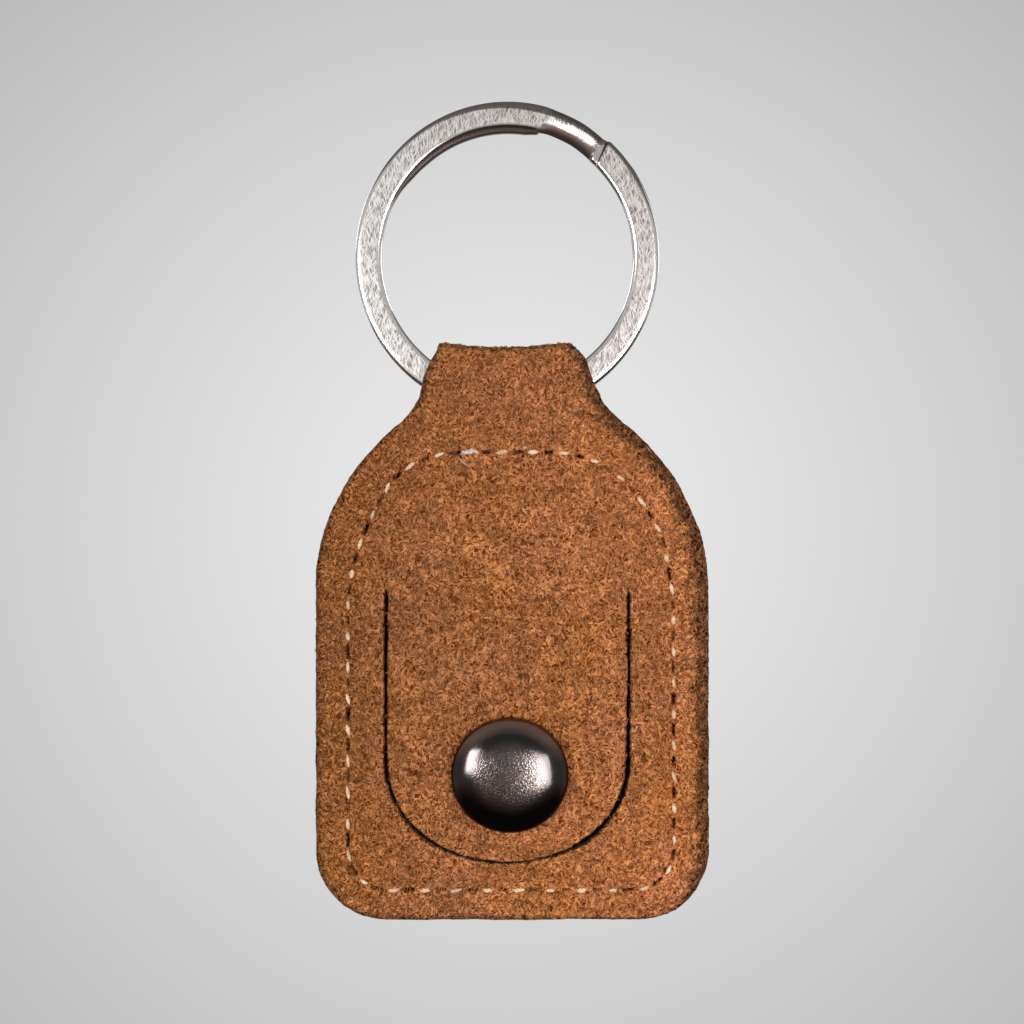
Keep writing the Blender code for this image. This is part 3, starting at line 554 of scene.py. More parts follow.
def sheet(name, part, finish):
    """One layer of leather: a fine outer side, a plainer inner side and a rough cut edge."""
    loops, side = LAYERS[part]
    outer, outer_faces = fill(loops, surface_spots(loops, part))
    rough = hexagon_grid(0.8, 5)
    rough = rough[domain(rough, loops)]
    inner, inner_faces = fill(loops, rough[loops_away(rough, loops) > 0.4])
    top = outer_depth(*outer.T, part)
    low = inner_depth(*inner.T)
    wall_points, walls = [], []
    sides_end = len(outer) + len(inner)
    first, total = 0, sides_end
    for number, loop in enumerate(loops):
        count = len(loop)
        x, z = loop.T
        turned_left = np.sum(x * np.roll(z, -1) - np.roll(x, -1) * z)
        outward = sideways(loop, True) * (-1 if (turned_left > 0) == (number == 0) else 1)
        along = np.arange(count) * STEP
        on_cut = smooth(1 - cut_distance(loop, part) / 0.3)
        previous = first + np.arange(count)
        for index, share in enumerate((0.25, 0.5, 0.75)):
            push = 0.05 * noise(along, index * 0.4, 0.5, 20) + 0.03 * noise(along, index, 0.22, 21)
            ragged = loop + outward * ((push + 0.03) * on_cut)[:, None]
            depth = top[first:first + count] * (1 - share) + low[first:first + count] * share
            wall_points.append(place(*ragged.T, depth, side))
            now = total + np.arange(count)
            walls.append(quads(previous, now, 0))
            previous = now
            total += count
        walls.append(quads(previous, len(outer) + first + np.arange(count), 0))
        first += count
    points = np.concatenate([place(*outer.T, top, side), place(*inner.T, low, side), *wall_points])
    edge, back, pit = np.zeros((3, len(points)))
    # Darkening near the outer side's edges, and nearly full on the cut sides: partly the leather's
    # own dark edge, partly painted shade
    edge[:len(outer)], edge[sides_end:] = edge_shade(*outer.T, part), 0.95
    back[len(outer):sides_end] = 1
    if part != "tongue":
        pit[:len(outer)] = pits(*outer.T)
    made = build(name, points, [outer_faces, inner_faces + len(outer), *walls], finish,
                 edge=edge, inner=back, pit=pit, tone=0.0)
    return face_outwards(made, 62)


def cut_distance(loop, part):
    """Distance of a loop's points from the real cuts: not 0 on the hinge line and fold top."""
    away = segments_away(loop, EDGE if part != "tongue" else SLIT_IN)
    if part == "front":
        away = np.minimum(away, segments_away(loop, SLIT_OUT))
    return away


def tubes(paths, radius, sides, normals, closed=False):
    """Closed tubes along many paths at once. Paths is (tube, step, 3) and radius (tube, step)."""
    count, steps = paths.shape[:2]
    if closed:
        along = unit(np.roll(paths, -1, 1) - np.roll(paths, 1, 1))
    else:
        along = unit(np.gradient(paths, axis=1))
    across = unit(np.cross(along, normals))
    up = np.cross(across, along)
    turn = 2 * pi * np.arange(sides)[:, None] / sides
    out = up[:, :, None] * np.cos(turn) + across[:, :, None] * np.sin(turn)
    points = paths[:, :, None] + radius[:, :, None, None] * out
    index = np.arange(count * steps * sides).reshape(count, steps, sides)
    faces = [skin(index, 2, closed)]
    if not closed:
        faces += [index[:, 0][:, ::-1], index[:, -1]]
    return points.reshape(-1, 3), faces


def nap(name, part, finish, density, seed):
    """Short curly fibres that lie on the suede, none of them under the press stud's rim."""
    loops, side = LAYERS[part]
    rng = np.random.default_rng(seed)
    low, high = loops[0].min(0), loops[0].max(0)
    count = int(density * np.prod(high - low))
    spots = rng.uniform(low, high, (count, 2))
    spots = spots[domain(spots, loops)]
    rim = np.hypot(*(spots - (SNAP_X, SNAP_Z)).T)
    spots = spots[rim > (CAP_RADIUS if part != "back" else RIVET_RADIUS + 0.1)]
    count = len(spots)
    steps, sides = 5, 3
    length = rng.gamma(7.0, 0.12, count).clip(0.35, 1.6)
    lie = 1.5 + 0.6 * noise(*spots.T, 6.0, 16)
    swing = lie + rng.normal(0, 0.8, count)
    curl = rng.normal(0, 1.9, count)
    wave = rng.normal(0, 0.7, count)
    share = np.linspace(0, 1, steps)
    turn = swing[:, None] + curl[:, None] * (share - 0.5) + wave[:, None] * np.sin(2 * pi * share)
    step = length[:, None] / (steps - 1)
    run = np.stack([np.cos(turn) * step, np.sin(turn) * step], -1)
    route = np.cumsum(run, 1)
    route = route - route.mean(1, keepdims=True) + spots[:, None]
    # A few fibres reach past a cut edge, more of them at the slit
    past = beyond_cut(route[..., 0], route[..., 1], part).max(1)
    by_slit = np.abs(hole_inside(*spots.T)) < 1
    reach, share_out = np.where(by_slit, 0.35, 0.14), np.where(by_slit, 0.35, 0.1)
    kept = (past < 0.0) | ((past < reach) & (rng.random(count) < share_out))
    route, spots = route[kept], spots[kept]
    count = len(spots)
    x, s = route[..., 0], np.minimum(route[..., 1], FOLD_END + 0.3)
    thick = rng.uniform(0.034, 0.062, count)
    arch = rng.uniform(0.0, 0.16, count)
    tip = rng.uniform(-0.05, 0.05, count)
    height = arch[:, None] * np.sin(pi * share) + tip[:, None] * (2 * share - 1) - 0.01
    depth = outer_depth(x.ravel(), s.ravel(), part).reshape(x.shape)
    by_seam = (np.abs(seam_inside(x, s)) < 0.35) & (part != "tongue")
    depth = depth + height * np.where(by_seam, rng.uniform(0.1, 1.4, count)[:, None], 1.0)
    paths = place(x, s, depth, side)
    normals = place(x, s, depth + 1, side) - paths
    radius = thick[:, None] * np.array([0.45, 1, 1.05, 0.95, 0.4])
    points, faces = tubes(paths, radius, sides, normals)
    tone = 0.1 + 0.9 * rng.random(count)
    # Painted shade: each fibre darker towards its ends, where it sinks into the nap
    tone = tone[:, None] * np.array([0.5, 0.95, 1, 0.95, 0.5])
    # The worn edge's darkening, partly painted shade, as on the sheets; some fibres there stay
    # paler
    dark = edge_shade(*spots.T, part)
    pale = rng.random(count) < 0.3
    return build(name, points, faces, finish, inner=0.0, pit=0.0,
                 edge=np.repeat(dark * (1 - 0.65 * pale), steps * sides),
                 tone=np.repeat(tone.ravel(), sides))


# ---- materials

class Shader:
    """A material with its Principled shader and short ways to add nodes."""

    def __init__(self, name, **sockets):
        self.made = bpy.data.materials.new(name)
        self.made.use_nodes = True
        self.tree = self.made.node_tree
        self.main = self.tree.nodes["Principled BSDF"]
        for key, value in sockets.items():
            self.main.inputs[key.replace("_", " ")].default_value = value

    def node(self, kind, inputs=(), **settings):
        made = self.tree.nodes.new("ShaderNode" + kind)
        for key, value in settings.items():
            setattr(made, key, value)
        for key, value in dict(inputs).items():
            if isinstance(value, bpy.types.NodeSocket):
                self.tree.links.new(value, made.inputs[key])
            else:
                made.inputs[key].default_value = value
        return made

    def value(self, name):
        return self.node("Attribute", attribute_name=name).outputs["Fac"]

    def rest(self):
        """Places on the piece at rest, in mm."""
        return self.node("Attribute", attribute_name="rest").outputs["Vector"]

    def axes(self):
        return tuple(self.node("SeparateXYZ", {0: self.rest()}).outputs)

    def noise(self, vector, scale, detail, distortion=0.0):
        inputs = {"Vector": vector, "Scale": scale, "Detail": detail, "Distortion": distortion}
        return self.node("TexNoise", inputs).outputs["Fac"]

    def sums(self, operation, a, b):
        return self.node("Math", {0: a, 1: b}, operation=operation).outputs[0]

    def times(self, a, b):
        return self.sums("MULTIPLY", a, b)

    def vectors(self, operation, a, b):
        made = self.node("VectorMath", {0: a, 1: b}, operation=operation)
        return made.outputs["Value" if operation == "DISTANCE" else "Vector"]

    def spread(self, value, low, high, to_low=0.0, to_high=1.0):
        inputs = {"Value": value, "From Min": low, "From Max": high, "To Min": to_low,
                  "To Max": to_high}
        return self.node("MapRange", inputs).outputs[0]

    def blend(self, share, first, second, blend_type="MIX"):
        """A mix of two colours, each a socket or three numbers."""
        first, second = ((*c, 1.0) if isinstance(c, tuple) else c for c in (first, second))
        return self.node("Mix", {0: share, 6: first, 7: second}, data_type="RGBA",
                         blend_type=blend_type).outputs[2]

    def bump(self, height, distance, strength):
        inputs = {"Height": height, "Distance": distance, "Strength": strength}
        return self.node("Bump", inputs).outputs["Normal"]

    def set(self, key, socket):
        self.tree.links.new(socket, self.main.inputs[key])


def suede_material():
    """Flesh-side leather: curly fibres in several browns, blotches, dark worn edges that are partly
    painted shade, painted light across the strip and painted shade in the stitch holes.
    """
    m = Shader("suede", Roughness=0.95, Specular_IOR_Level=0.0)
    at = m.rest()
    swirl = m.node("TexNoise", {"Vector": at, "Scale": 1.4, "Detail": 1.0}).outputs["Color"]
    curled = m.vectors("ADD", at, m.vectors("MULTIPLY", swirl, (0.9, 0.9, 0.9)))
    fibres = streaks(m, curled, (84, 24, 142), 0.55, 0.12, 0.49, 0.67)
    grain = m.noise(at, 9.0, 2.0, 1.0)
    middle = m.noise(at, 0.42, 3.0)
    large = m.noise(at, 0.085, 2.0)
    light = m.sums("MAXIMUM", m.times(fibres, 0.8), m.value("tone"))
    colour = m.blend(light, (0.145, 0.021, 0.0), (0.71, 0.312, 0.123))
    warm = m.blend(m.spread(large, 0.35, 0.65), (0.98, 0.97, 1.05), (1.04, 1.02, 0.88))
    colour = m.blend(1.0, colour, warm, "MULTIPLY")
    # Painted light: lighter towards the right, towards the bottom and above the tongue, times
    # random blotches from the middle noise
    x, _, z = m.axes()
    height = m.times(m.spread(z, -84, -62, 1.13, 0.96), m.spread(z, -51, -46, 1.0, 1.07))
    shade = m.times(m.spread(middle, 0.3, 0.7, 0.84, 1.12),
                    m.times(m.spread(x, -20, 19, 0.83, 1.25), height))
    grey = m.node("CombineColor", {0: shade, 1: shade, 2: shade}).outputs[0]
    colour = m.blend(1.0, colour, grey, "MULTIPLY")
    dark_spot = m.spread(m.noise(at, 1.15, 1.0), 0.66, 0.76, 0.0, 0.6)
    colour = m.blend(dark_spot, colour, (0.062, 0.023, 0.010))
    # The worn edges darken, partly in their own colour and partly as painted shade; the fold's top
    # and the slit's sides darken as painted shade
    edge_tone = m.blend(light, (0.022, 0.006, 0.0015), (0.265, 0.112, 0.05))
    blotch = m.spread(m.noise(at, 1.3, 3.0), 0.3, 0.7, -0.25, 0.35)
    edge = m.sums("ADD", m.value("edge"), m.sums("SUBTRACT", blotch, m.times(fibres, 0.25)))
    colour = m.blend(m.spread(edge, 0.0, 0.85), colour, edge_tone)
    inner = m.blend(m.spread(middle, 0.3, 0.7), (0.13, 0.048, 0.018), (0.20, 0.082, 0.033))
    colour = m.blend(m.value("inner"), colour, inner)
    # Painted shade in the stitch holes
    colour = m.blend(m.spread(m.value("pit"), 0.0, 0.7), colour, (0.035, 0.011, 0.004))
    m.set("Base Color", colour)
    m.set("Normal", m.bump(m.sums("ADD", fibres, m.times(grain, 0.5)), 0.00009, 0.8))
    return m.made


def streaks(m, at, angles, length, width, low, high):
    """Short lines of about this length and width in several directions, from 0 to 1."""
    found = None
    for index, angle in enumerate(angles):
        inputs = {"Vector": at, "Rotation": (0, radians(angle), 0), "Scale": (length, 1.0, width),
                  "Location": (index * 7.3, 0, index * 3.1)}
        vector = m.node("Mapping", inputs, vector_type="TEXTURE").outputs[0]
        line = m.spread(m.noise(vector, 1.0, 0.0), low, high)
        found = line if found is None else m.sums("MAXIMUM", found, line)
    return found


def steel_material():
    m = Shader("ring_steel", Metallic=1.0)
    at = m.rest()
    bright = streaks(m, at, (58, 72, 84, 97, 108, 124), 1.1, 0.13, 0.58, 0.72)
    dark = streaks(m, at, (64, 78, 91, 103, 117), 1.0, 0.13, 0.56, 0.7)
    patches = m.noise(at, 0.6, 2.0)
    colour = m.blend(m.spread(patches, 0.3, 0.7), (0.44, 0.408, 0.394), (0.57, 0.54, 0.522))
    colour = m.blend(m.times(dark, 0.8), colour, (0.20, 0.167, 0.155))
    colour = m.blend(m.times(bright, 0.9), colour, (0.93, 0.90, 0.885))
    # Painted light: the ring is lighter towards its left
    from_left = m.spread(m.axes()[0], -10, 12)
    tint = m.blend(from_left, (0.93, 0.93, 0.918), (0.82, 0.785, 0.78))
    colour = m.blend(1.0, colour, tint, "MULTIPLY")
    wall, bevel, hidden = m.value("wall"), m.value("bevel"), m.value("hidden")
    # Polish and painted highlight: a bright colour on the rounded edges
    colour = m.blend(m.times(bevel, 0.7), colour, (0.82, 0.79, 0.76))
    cloud = m.spread(m.noise(at, 2.5, 2.0), 0.3, 0.7)
    dim = m.blend(cloud, (0.07, 0.049, 0.042), (0.11, 0.083, 0.073))
    # Painted shade and painted dark reflection: a dark colour on the wire's sides, ends, meeting
    # faces and joggle
    colour = m.blend(m.spread(wall, 0.3, 1.0), colour, dim)
    # Matte painted shade, darker still
    m.set("Base Color", m.blend(hidden, colour, (0.085, 0.062, 0.056)))
    gloss = m.spread(m.sums("MAXIMUM", wall, bevel), 0.2, 0.8, 0.34, 0.16)
    m.set("Roughness", m.sums("MAXIMUM", gloss, m.times(hidden, 0.55)))
    return m.made


def thread_material():
    m = Shader("thread", Roughness=0.62, Sheen_Weight=0.1, Specular_IOR_Level=0.35)
    at = m.rest()
    fibres = m.noise(at, 8.0, 2.0, 0.6)
    colour = m.blend(m.spread(fibres, 0.3, 0.7), (0.74, 0.47, 0.27), (1.0, 0.77, 0.55))
    # Low tone darkens the thread: at random, and as painted shade where it sinks into its holes
    colour = m.blend(m.value("tone"), (0.42, 0.20, 0.085), colour)
    m.set("Base Color", colour)
    m.set("Normal", m.bump(fibres, 0.00004, 0.5))
    return m.made


def knot_material():
    m = Shader("melted_thread", Roughness=0.4, Specular_IOR_Level=0.4)
    tone = m.spread(m.noise(m.rest(), 3.0, 2.0), 0.35, 0.65)
    colour = m.blend(tone, (0.34, 0.21, 0.15), (0.80, 0.66, 0.56))
    m.set("Base Color", m.blend(m.value("tone"), (0.38, 0.18, 0.09), colour))
    return m.made


def gunmetal_material():
    m = Shader("gunmetal", Metallic=1.0, Coat_Weight=0.3, Coat_Roughness=0.1,
               Specular_Tint=(0.4, 0.35, 0.34, 1))
    at = m.rest()
    grain = m.noise(at, 6.5, 1.0, 0.6)
    patch = m.noise(at, 0.35, 2.0)
    rim = m.vectors("DISTANCE", at, (SNAP_X, CAP_TOP_Y, SNAP_Z))
    worn = m.spread(rim, 2.4, 4.6, 1.0, 0.0)
    colour = m.blend(m.spread(patch, 0.35, 0.65), (0.066, 0.050, 0.048), (0.092, 0.073, 0.068))
    # Worn specks near the middle, lighter also as painted glints
    speck = m.times(m.spread(grain, 0.5, 0.7), worn)
    colour = m.blend(speck, colour, (0.21, 0.182, 0.172))
    # Painted dark reflection in a ring between the middle and the edge
    colour = m.blend(m.spread(rim, 2.8, 4.0, 0.0, 0.95), colour, (0.022, 0.018, 0.018))
    # Painted reflection on the outermost ring: brown at the top, near black below
    upper = m.spread(m.axes()[2], SNAP_Z + 1.5, SNAP_Z + 4.8)
    outer = m.blend(upper, (0.038, 0.029, 0.027), (0.22, 0.14, 0.11))
    m.set("Base Color", m.blend(m.spread(rim, 4.5, 5.4), colour, outer))
    m.set("Roughness", m.spread(rim, 1.8, 3.6, 0.25, 0.14))
    normal = m.bump(m.times(grain, worn), 0.00004, 0.7)
    m.set("Normal", normal)
    m.set("Coat Normal", normal)
    return m.made


def nickel_material():
    m = Shader("nickel", Metallic=1.0)
    at = m.rest()
    cloud = m.noise(at, 0.9, 3.0)
    m.set("Base Color", m.blend(m.spread(cloud, 0.3, 0.7), (0.50, 0.47, 0.43), (0.66, 0.63, 0.59)))
    m.set("Roughness", m.spread(m.noise(at, 4.0, 2.0), 0.3, 0.7, 0.16, 0.32))
    m.set("Normal", m.bump(m.noise(at, 6.0, 2.0), 0.00002, 0.3))
    return m.made


# ---- metal pieces

def split_ring(finish):
    """Flat wire with rounded edges: front coil, joggle, back coil. It is a little oval, and the
    back coil strays from the front one."""
    start, end = FRONT_END, BACK_END + 4 * pi
    first, last = JOGGLE_START + 2 * pi, JOGGLE_END + 2 * pi
    spans = ((start, end, 560), (start, start + 0.035, 24), (first - 0.1, last + 0.1, 140),
             (end - 0.035, end, 24))
    turn = np.sort(np.concatenate([np.linspace(*span) for span in spans]))
    turn = turn[np.append(True, np.diff(turn) > 1e-5)][:, None]
    degrees = np.degrees(turn)
    layer = (COIL + COIL_GAP) / 2
    share = sum(np.clip((turn + 0.017 * k - first) / (last - first), 0, 1)
                for k in range(-3, 4)) / 7
    radius = RING_OUTER - BAND / 2
    ends = np.minimum(turn - start, end - turn) * radius
    closing = 1 - np.sqrt(1 - np.clip(1 - ends / 0.45, 0, 1) ** 2)
    corner = arc((0, 0), 1, 0, pi / 2, 6)
    rx, ry = 0.55, 0.33
    flat = np.linspace(-1, 1, 19)[1:-1] * (BAND / 2 - rx)
    section = []
    for sx, sy in ((1, 1), (-1, 1), (-1, -1), (1, -1)):
        quarter = corner if sx * sy > 0 else corner[::-1]
        section.append((quarter * (rx, ry) + (BAND / 2 - rx, COIL / 2 - ry)) * (sx, sy))
        if sx * sy > 0:
            section.append(np.stack([-sx * flat, np.full(len(flat), sy * COIL / 2)], -1))
    radial, axial = np.concatenate(section).T
    across, front, beside = radial / (BAND / 2), axial < 0, np.abs(radial) - BAND / 2
    # On the joggle the wire's front is rounded and polished. Its colour there is darkened as a
    # painted dark reflection, less so along a middle band to widen the highlight, and its inner
    # half is a matte painted shade
    past_joggle = degrees - 373
    done = smooth((last + 0.03 - turn) / 0.04)
    swell = smooth(past_joggle / 7) * done
    flare = 1 + 0.05 * smooth((66 - degrees) / 16)
    wide = radial * (1 - 0.28 * closing) * (1 - 0.06 * swell) * flare
    deep = axial * (1 - 0.55 * closing)
    deep = deep + np.where(front, 0.42 * swell * np.abs((across - 0.2) / 1.1) ** 2.8, 0)
    out = radius + wide + np.interp(degrees, *np.array(RING_STRAY).T)
    onset = 1.6 * past_joggle / 10 - 0.9 * (1 - np.abs(across))
    # Matte painted shade on the joggle's inner half
    matt = front * smooth((onset + 0.4) / 0.4) * smooth((-across - 0.12) / 0.3) * done
    polish = 0.95 * smooth(onset / 0.6) * (1 - 0.35 * np.exp(-((across - 0.1) / 0.4) ** 4)) * done
    # Painted shade: the wire's narrow sides are darkened but for those at the ring's left and
    # right, and the inner side near the top as well
    lit = smooth((np.abs(np.sin(turn)) - 0.88) / 0.06)
    narrow = smooth((beside + 0.2) / 0.14)
    below = np.interp((degrees + 180) % 360 - 180, (-50, -38, 18, 30), (0, 1, 1, 0))
    below = below * (degrees < 384) * (radial < 0)
    under = smooth((beside + 0.42) / 0.12) * below
    shaded = np.interp(degrees, *np.array(RING_SHADED).T)
    # Painted shade along the outer edge, as wide as RING_SHADED gives
    gloom = 0.85 * smooth((radial - BAND / 2 + shaded) / 0.25 + 0.3) * smooth(shaded / 0.08)
    # Painted shade on the faces where the two coils lie against each other
    between = np.where(turn < first - 0.05, axial > 0.1, (turn > last + 0.15) & (axial < -0.1))
    # Painted shade on the wire's ends
    closed = smooth((closing - 0.08) / 0.15)
    hidden = most(narrow * below, between, matt)
    wall = most(narrow * (1 - 0.85 * lit), polish * front, under, gloom * front, between, closed)
    # The rounded edges and the back coil's front are polished and painted bright as a highlight
    bevel = most(smooth((beside + rx - 0.06) / 0.1), front * (turn > last))
    slant = turn - radians(1.4) * across * (turn < start + 0.3)
    z = out * np.cos(slant) * RING_OVAL + RING_CENTRE_Z - RING_DROP
    points = np.stack([out * np.sin(slant), deep - layer * (1 - 2 * share), z], -1)
    index = np.arange(z.size).reshape(z.shape)
    faces = [quads(index[:-1], index[1:], 1), index[:1, ::-1], index[-1:]]
    made = build("key_ring", points.reshape(-1, 3), faces, finish, wall=wall.ravel(),
                 bevel=bevel.ravel(), hidden=hidden.ravel())
    return face_outwards(made, 50)


def most(*values):
    return np.max(np.broadcast_arrays(*values), 0)


def turned(name, profile, base_y, closed, finish):
    """A turned piece about the press stud's axis. Profile is (radius, height to the front)."""
    steps = 128
    turn = 2 * pi * np.arange(steps)[:, None] / steps
    radius, height = np.array(profile, float).T
    x, z = SNAP_X + radius * np.cos(turn), SNAP_Z + radius * np.sin(turn)
    points = np.stack([x, np.broadcast_to(base_y - height, x.shape), z], -1)
    index = np.arange(x.size).reshape(x.shape)
    faces = [skin(index, 0, closed)]
    if not closed:
        faces += [index[:, 0][None, :], index[:, -1][None, ::-1]]
    return face_outwards(build(name, points.reshape(-1, 3), faces, finish), 40)


def rounded(points, radius, steps):
    """A profile whose corners are rounded off."""
    points = [np.array(p, float) for p in points]
    made = [points[0]]
    for before, at, after in zip(points, points[1:], points[2:]):
        back, on = before - at, after - at
        reach = min(radius, np.hypot(*back) * 0.45, np.hypot(*on) * 0.45)
        a = at + back / np.hypot(*back) * reach
        b = at + on / np.hypot(*on) * reach
        for t in np.linspace(0, 1, steps):
            made.append((1 - t) ** 2 * a + 2 * t * (1 - t) * at + t * t * b)
    return np.array([*made, points[-1]])


def snap_cap(finish):
    turn = np.linspace(pi / 2 - 0.02, 0, 30)
    dome = np.stack([CAP_RADIUS * np.cos(turn), 0.7 + 2.1 * np.sin(turn)], -1)
    rim = rounded([(CAP_RADIUS, 0.7), (CAP_RADIUS, 0.0), (5.05, 0.0), (5.05, 0.6), (1.3, 0.6),
                   (1.3, -1.95), (1.9, -1.95), (1.9, -2.25), (0.05, -2.25)], 0.3, 4)
    made = turned("snap_cap_fine", np.concatenate([dome, rim[1:]]), CAP_Y, False, finish)
    # It is a little wider than high, as in the photograph
    made.data.transform(Matrix.Translation((SNAP_X * MM, 0, 0)) @ Matrix.Diagonal((1.025, 1, 1, 1))
                        @ Matrix.Translation((-SNAP_X * MM, 0, 0)))
    return made


def snap_socket(finish):
    profile = rounded([(1.5, 0), (4.6, 0), (5.0, -0.4), (5.0, -0.7), (4.0, -1.1), (4.0, -2.0),
                       (3.6, -2.2), (2.65, -2.2), (2.65, -1.8), (3.6, -1.8), (3.6, -0.4),
                       (1.5, -0.4)], 0.16, 3)
    return turned("snap_socket_fine", profile, SOCKET_Y, True, finish)


def snap_stud(finish):
    profile = rounded([(0.05, 1.85), (1.8, 1.85), (2.1, 1.55), (2.1, 1.25), (1.85, 0.95),
                       (1.85, 0.5), (4.75, 0.5), (4.75, 0.0), (1.4, 0.0), (1.4, 1.4),
                       (0.05, 1.4)], 0.2, 4)
    return turned("snap_stud_fine", profile, STUD_Y, False, finish)


def rivet(finish):
    profile = rounded([(0.05, 3.6), (0.95, 3.6), (1.2, 3.35), (1.2, 0.5), (4.05, 0.5),
                       (RIVET_RADIUS, 0.25), (4.05, 0.0), (1.0, 0.0), (0.05, 0.06)], 0.3, 4)
    return turned("rivet_fine", profile, RIVET_Y, False, finish)


def socket_spring(finish):
    steps, wire = 80, 0.45
    turn = radians(20) + radians(320) * np.linspace(0, 1, steps)
    radius = (5.8 - wire) / 2
    path = np.stack([SNAP_X + radius * np.cos(turn), np.full(steps, -0.15),
                     SNAP_Z + radius * np.sin(turn)], -1)
    points, faces = tubes(path[None], np.full((1, steps), wire / 2), 10, (0.0, -1.0, 0.0))
    return face_outwards(build("socket_spring_fine", points, faces, finish), 60)


# ---- thread

def seam_thread(name, part, finish, seed):
    """Three plies twisted round each other that rise over each stitch and dive at each hole."""
    side = LAYERS[part][1]
    rng = np.random.default_rng(seed)
    steps, sides, plies, dive = STITCHES * 40, 8, 3, 0.98
    at = SEAM_LENGTH * np.arange(steps) / steps
    spots = points_at(SEAM, at)
    across = sideways(spots, True)
    passed = at / SEAM_LENGTH * STITCHES
    phase = passed % 1.0
    from_dash = np.minimum(phase, 1 - phase)
    dash = ((phase > 0.5) + passed.astype(int)) % STITCHES
    lift = 0.13 + 0.035 * rng.normal(0, 1, STITCHES)[dash]
    slant = rng.normal(0.12, 0.07, STITCHES)[dash]
    half = rng.uniform(0.2, 0.45, STITCHES)[dash]
    bright = rng.uniform(0.7, 1.1, STITCHES)[dash]
    stout = rng.uniform(0.85, 1.25, STITCHES)[dash]
    lean = slant * np.where(phase > 0.5, phase - 1, phase) * 3.0
    rise = smooth(1 - (from_dash * PITCH - half) / 0.8)
    base = base_depth(*spots.T) + waves(*spots.T)
    height = base - groove_depth(spots[:, 0], part) - dive + (dive + lift) * rise
    middle = spots + across * lean[:, None]
    taper = smooth(1.1 - from_dash * PITCH / (half + 0.4))
    fat = (0.15 + 1.05 * taper) * stout
    patchy = 0.85 + 0.3 * noise(at, 0, 0.45, 17)
    # Painted shade: the thread darkens where it sinks into its holes; each stitch and patch also
    # differs at random
    tone = (bright * patchy * smooth((rise - 0.25) / 0.7)).clip(0, 1)
    twist = 2 * pi * at / SEAM_LENGTH * round(SEAM_LENGTH / 1.15)
    turn = twist + 2 * pi * np.arange(plies)[:, None] / plies
    route = middle + across * (0.08 * np.cos(turn) * fat)[..., None]
    paths = place(route[..., 0], route[..., 1], height + 0.07 * np.sin(turn) * fat, side)
    points, faces = tubes(paths, np.tile(0.105 * fat, (plies, 1)), sides, (0.0, side, 0.0), True)
    return face_outwards(build(name, points, faces, finish,
                               tone=np.tile(np.repeat(tone, sides), plies)))


def seam_knot(finish):
    """Where the seam was finished off: melted thread, a loose loop under it and a speck."""
    steps, sides = 17, 10
    routes = [[(-5.0, -34.8), (-4.4, -34.6), (-3.75, -34.45), (-3.0, -34.65)],
              [(-5.3, -35.05), (-4.7, -35.6), (-4.2, -36.05), (-3.95, -36.05), (-3.4, -35.4)],
              [(1.7, -34.2), (1.9, -34.1), (2.1, -34.05)]]
    radius = np.array([(0.3, 0.15), (0.08, 0.02), (0.09, 0.03)])
    share = np.linspace(0, 1, steps)
    wobble = noise(share * 6, np.arange(len(routes))[:, None], 1.0, 22)
    lumps = 1 + radius[:, 1:] / radius[:, :1] * wobble
    radius = radius[:, :1] * lumps * np.sqrt(np.sin(pi * share).clip(0.03, 1))
    paths = []
    for route in routes:
        line = curve_through(route)
        x, z = points_at(line, lengths_along(line)[-1] * share).T
        paths.append(place(x, z, outer_depth(x, z, "front") + 0.1, -1))
    points, faces = tubes(np.stack(paths), radius, sides, (0.0, -1.0, 0.0))
    return face_outwards(build("seam_knot", points, faces, finish,
                               tone=np.repeat([1.0, 0.35, 0.8], steps * sides)))


# ---- put together

suede = suede_material()
steel = steel_material()
thread = thread_material()
knot = knot_material()
gunmetal = gunmetal_material()
nickel = nickel_material()


def finish_piece(obj, slot, *nodes, body=None, neck=False, tongue=False):
    """Hides the imported parts that the piece stands for and puts it on its body; a neck or tongue
    piece only has its transform baked.
    """
    if nodes:
        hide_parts(*nodes)
    if neck:
        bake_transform(obj)
    elif tongue:
        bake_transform(obj)
    else:
        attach(obj, body)


finish_piece(sheet("suede_front", "front", suede), "suede", "front_panel", "ring_loop", neck=True)
finish_piece(sheet("suede_back", "back", suede), "suede", "back_panel", neck=True)
finish_piece(sheet("suede_tongue", "tongue", suede), "suede", "flap_tongue", tongue=True)
for index in range(3):
    finish_piece(nap(f"nap_front_{index}", "front", suede, 3.8, 30 + index), "suede", neck=True)
    finish_piece(nap(f"nap_back_{index}", "back", suede, 2.3, 40 + index), "suede", neck=True)
finish_piece(nap("nap_tongue", "tongue", suede, 11.0, 50), "suede", tongue=True)

finish_piece(seam_thread("front_stitches", "front", thread, 60), "thread", "needle_thread",
             body="pouch")
finish_piece(seam_thread("back_stitches", "back", thread, 61), "thread", "bobbin_thread",
             body="pouch")
finish_piece(seam_knot(knot), "thread", body="pouch")
finish_piece(split_ring(steel), "ring_steel", "split_ring", body="ring")
finish_piece(snap_cap(gunmetal), "snap_gunmetal", "snap_cap", body="tongue")
finish_piece(snap_socket(nickel), "snap_nickel", "snap_socket", body="tongue")
finish_piece(socket_spring(nickel), "snap_nickel", "socket_spring", body="tongue")
finish_piece(snap_stud(nickel), "snap_nickel", "snap_stud", body="pouch")
finish_piece(rivet(gunmetal), "snap_gunmetal", "stud_post", body="pouch")


# ---- studio

